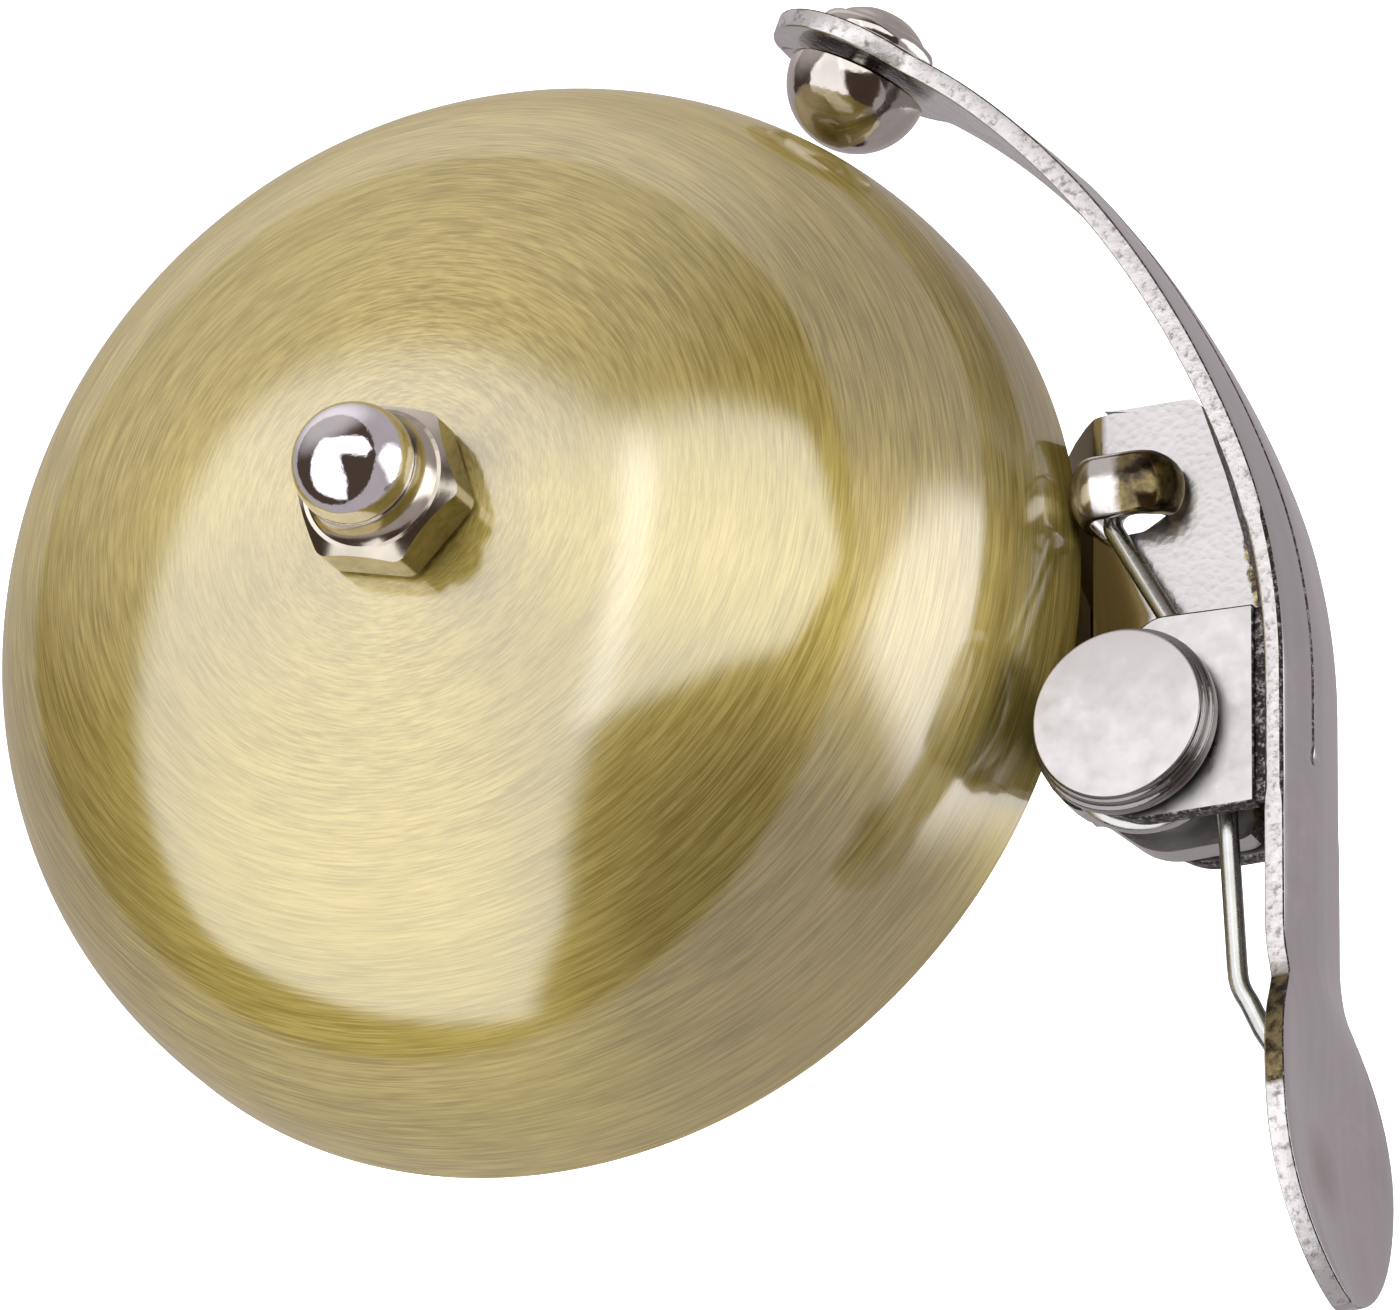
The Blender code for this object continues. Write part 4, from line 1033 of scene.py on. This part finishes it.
def make_bracket():
    """The plate with its step, window and holes, the finger for the spring's hook, and the two hub tabs."""
    back = -9.0 * MM
    front = 38.0 * MM
    lean = JOGGLE_LEAN
    rise = PLATE_TOP - HUB_TOP
    side_view = [(back, HUB_BOTTOM), (JOGGLE_START, HUB_BOTTOM), (JOGGLE_END, HUB_BOTTOM + rise),
                 (front, HUB_BOTTOM + rise), (front, PLATE_TOP), (JOGGLE_END - lean, PLATE_TOP),
                 (JOGGLE_START - lean, HUB_TOP), (back, HUB_TOP)]
    plate = slab(side_view, -20 * MM, 20 * MM, UPRIGHT)
    outline = arc((0, 0), HUB_RADIUS, 90, 270, 32) + rounded(PLATE_OUTLINE)
    body = combine(plate, slab(outline, 0, 30 * MM), "INTERSECT")
    body = combine(body, slab(rounded(WINDOW), HUB_TOP - 5 * MM, PLATE_TOP + MM), "DIFFERENCE")
    for radius, top, place in ((HUB_HOLE, HUB_TOP + MM, Vector()), (BUSH_HOLE, PLATE_TOP + MM, PIVOT)):
        hole = turned([(0.0, top), (radius, top), (radius, HUB_BOTTOM - MM), (0.0, HUB_BOTTOM - MM)], 48)
        hole.transform(Matrix.Translation(place))
        body = combine(body, hole, "DIFFERENCE")
    bmesh.ops.recalc_face_normals(body, faces=body.faces)
    # Painted shade: the plate's sides facing +X, towards the lever, take the dark edge colour.
    for face in body.faces:
        face.material_index = 1 if face.normal.x > 0.5 and abs(face.normal.z) < 0.3 else 0
    mesh = mesh_from("base_plate", body)
    obj = add_object("base_plate", mesh, "base", [PLATE, PAINTED_EDGE_SHADE], 30)
    bevel(obj, EDGE_BEVEL)
    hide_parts("base_bracket")

    level = PLATE_TOP / MM
    top = level + 1.9
    root_x, nose_x = 28.25, 32.3
    make_finger(rounded([(root_x, level - 1.3, 0), (root_x, top, 0.85), (nose_x, top, 1.35),
                         (nose_x, level + 0.5, 0)], 14))

    for side, name in ((1, "left"), (-1, "right")):
        low, high = sorted((side * TAB_INNER, side * (TAB_INNER + TAB_THICKNESS)))
        half = TAB_HALF_LENGTH
        tab = [(-half, low), (half, low), (half, high), (-half, high)]
        shape = slab(tab, bracket_low.z, HUB_BOTTOM + 0.3 * MM)
        piece = add_object("hub_tab_" + name, mesh_from("hub_tab", shape), "base",
                           [NICKEL_PEBBLED], 30)
        bevel(piece, EDGE_BEVEL)


def make_finger(path):
    """The rolled finger: a strip of sheet along the path, with a round nose and swollen edges."""
    shape = bmesh.new()
    middle = (FINGER_LOW_Y + FINGER_HIGH_Y) / 2
    half = (FINGER_HIGH_Y - FINGER_LOW_Y) / 2
    sides = 28
    nose = 0.28
    rings = []
    for i, p in enumerate(path):
        before = Vector(path[max(i - 1, 0)])
        after = Vector(path[min(i + 1, len(path) - 1)])
        along = (after - before).normalized()
        out = Vector((-along.y, along.x))
        share = i / (len(path) - 1)
        reach = half * (1 - 0.16 * max(0.0, share - (1 - nose)) / nose)
        ring = []
        for k in range(sides):
            a = 2 * math.pi * k / sides
            across = math.copysign(abs(math.cos(a)) ** 0.7, math.cos(a)) * reach
            lift = math.copysign(abs(math.sin(a)) ** 0.6, math.sin(a)) * FINGER_HALF_THICK
            bulge = FINGER_BULGE * (1 - (across / reach) ** 2) if lift > 0 else 0
            spot = Vector(p) + out * (lift + bulge)
            ring.append(shape.verts.new((spot.x, middle + across, spot.y)))
        rings.append(ring)
    skin(shape, rings)
    add_object("spring_finger", mesh_from("spring_finger", shape), "base", [FINGER], 60)


make_gong()
make_nut()
make_lever()
make_hammer()
make_pin()
make_spring()
make_bracket()

# ---------------------------------------------------------------- CAD nodes that stay, own finishes

KEPT = {
    "bar_liner": RUBBER, "center_post": STEEL, "clamp_band": NICKEL, "clamp_nut": ZINC,
    "clamp_screw": ZINC, "clamp_spring_washer": SPRING_STEEL, "clamp_washer": ZINC, "dome_washer": FIBRE,
    "hub_washer": SPRING_STEEL, "mounting_screw": ZINC, "pin_retainer": SPRING_STEEL,
    "pin_washer": STEEL, "pivot_bush": STEEL,
}
for node, material in KEPT.items():
    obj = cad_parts[node]
    for material_slot in obj.material_slots:
        material_slot.material = material

# ---------------------------------------------------------------- floor, light, camera


def make_floor():
    """A plain pale floor, well below the bell."""
    drop = 150 * MM
    half_size = 3.0
    shape = bmesh.new()
    bmesh.ops.create_grid(shape, x_segments=1, y_segments=1, size=half_size)
    mesh = mesh_from("floor", shape)
    floor = bpy.data.objects.new("floor", mesh)
    scene.collection.objects.link(floor)
    floor.location = (0, 0, cad_low.z - drop)
    n = Nodes("floor_white")
    n.set(Base_Color=n.mix(n.noise(3.0, 2.0), (0.90, 0.90, 0.90), (0.93, 0.93, 0.93)), Roughness=0.9,
          Emission_Color=(1, 1, 1, 1), Emission_Strength=1.0)
    mesh.materials.append(n.material)
    floor.visible_glossy = False
    floor.visible_shadow = False


class World(Tree):
    """The studio round the bell: a pale table below, dark room above, and soft panels of light."""

    def __init__(self):
        scene.world = bpy.data.worlds.new("studio")
        scene.world.use_nodes = True
        super().__init__(scene.world.node_tree)
        self.background = self.tree.nodes["Background"]
        self.direction = self.add("ShaderNodeTexCoord").outputs["Generated"]
        self.total = None

    def dot(self, axis):
        node = self.add("ShaderNodeVectorMath", operation="DOT_PRODUCT")
        self.feed(node.inputs[0], self.direction)
        self.feed(node.inputs[1], axis)
        return node.outputs["Value"]

    def ramp(self, value, low, high, to_low=0.0, to_high=1.0):
        return self.fit(value, low, high, to_low, to_high, "SMOOTHSTEP")

    def glow(self, mask, colour):
        """Add light of one colour where the mask is above zero."""
        node = self.add("ShaderNodeVectorMath", operation="SCALE")
        self.feed(node.inputs[0], colour)
        self.feed(node.inputs["Scale"], mask)
        if self.total is None:
            self.total = node.outputs[0]
            return
        total = self.add("ShaderNodeVectorMath", operation="ADD")
        self.feed(total.inputs[0], self.total)
        self.feed(total.inputs[1], node.outputs[0])
        self.total = total.outputs[0]

    def panel(self, corners, soft, colour):
        """Light inside a convex panel, given by the directions of its corners, with a soft edge."""
        corners = [Vector(c).normalized() for c in corners]
        middle = sum(corners, Vector())
        mask = None
        for i, corner in enumerate(corners):
            edge = corner.cross(corners[(i + 1) % len(corners)]).normalized()
            if edge.dot(middle) < 0:
                edge = -edge
            side = self.ramp(self.dot(edge), -soft, soft)
            mask = side if mask is None else self.times(mask, side)
        self.glow(mask, colour)

    def spot(self, toward, inner, outer, colour):
        """A soft round patch between two angles in degrees from toward."""
        bounds = [math.cos(math.radians(angle)) for angle in (outer, inner)]
        self.glow(self.ramp(self.dot(Vector(toward).normalized()), *bounds), colour)

    def finish(self):
        self.feed(self.background.inputs["Color"], self.total)
        self.feed(self.background.inputs["Strength"], 1.0)


TABLE_UP = (-0.343, -0.130, 0.930)
TABLE_EDGE = (0.10, 0.15)
TABLE_COLOUR = (0.50, 0.46, 0.475)
ROOM_COLOUR = (0.080, 0.056, 0.043)
LEFT_PANEL = ((-0.885, -0.449, 0.120), (-0.50, 0.50, 0.70), (-0.05, 0.42, 0.90), (0.05, -0.81, 0.585),
              (-0.15, -0.987, 0.03))
CROWN_PANEL = ((-0.15, 0.44, 0.88), (0.58, 0.50, 0.645), (0.83, 0.13, 0.54), (0.70, -0.12, 0.70),
               (-0.06, -0.05, 1.0))
RIGHT_PANEL = ((0.943, 0.232, 0.229), (0.878, 0.453, -0.174), (0.598, 0.256, -0.756), (0.324, 0.100, -0.945),
               (0.800, -0.464, -0.380), (0.93, -0.12, 0.34))
BACK_LAMP = (-0.42, 0.86, 0.30)


def make_world():
    world = World()
    height = world.dot(TABLE_UP)
    world.glow(world.ramp(height, *TABLE_EDGE, 1.0, 0.0), TABLE_COLOUR)
    world.glow(world.ramp(height, *TABLE_EDGE), ROOM_COLOUR)
    world.panel(LEFT_PANEL, 0.05, (1.5, 1.5, 1.55))
    world.panel(CROWN_PANEL, 0.05, (1.7, 1.7, 1.7))
    world.panel(RIGHT_PANEL, 0.12, (1.8, 1.8, 1.9))
    world.spot(BACK_LAMP, 15, 56, (0.54, 0.52, 0.53))
    world.finish()


CAMERA_RIGHT = (0.91959, 0.01064, -0.39272)
CAMERA_BACK = (0.36615, -0.38553, 0.84693)
CAMERA_PLACE = (0.25797, -0.26526, 0.57948)
CAMERA_LENS = 360.9


def make_camera():
    """The camera, set by its right and backward directions and its place over the rim's centre."""
    data = bpy.data.cameras.new("camera")
    camera = bpy.data.objects.new("camera", data)
    scene.collection.objects.link(camera)
    back = Vector(CAMERA_BACK).normalized()
    right = Vector(CAMERA_RIGHT)
    right = (right - back * right.dot(back)).normalized()
    up = back.cross(right)
    place = Vector(CAMERA_PLACE) + Vector((0, 0, RIM_Z))
    camera.matrix_world = Matrix.Translation(place) @ Matrix((right, up, back)).transposed().to_4x4()
    data.sensor_width = 36.0
    data.lens = CAMERA_LENS
    data.clip_start = 0.05
    data.clip_end = 20
    scene.camera = camera


make_floor()
make_world()
make_camera()
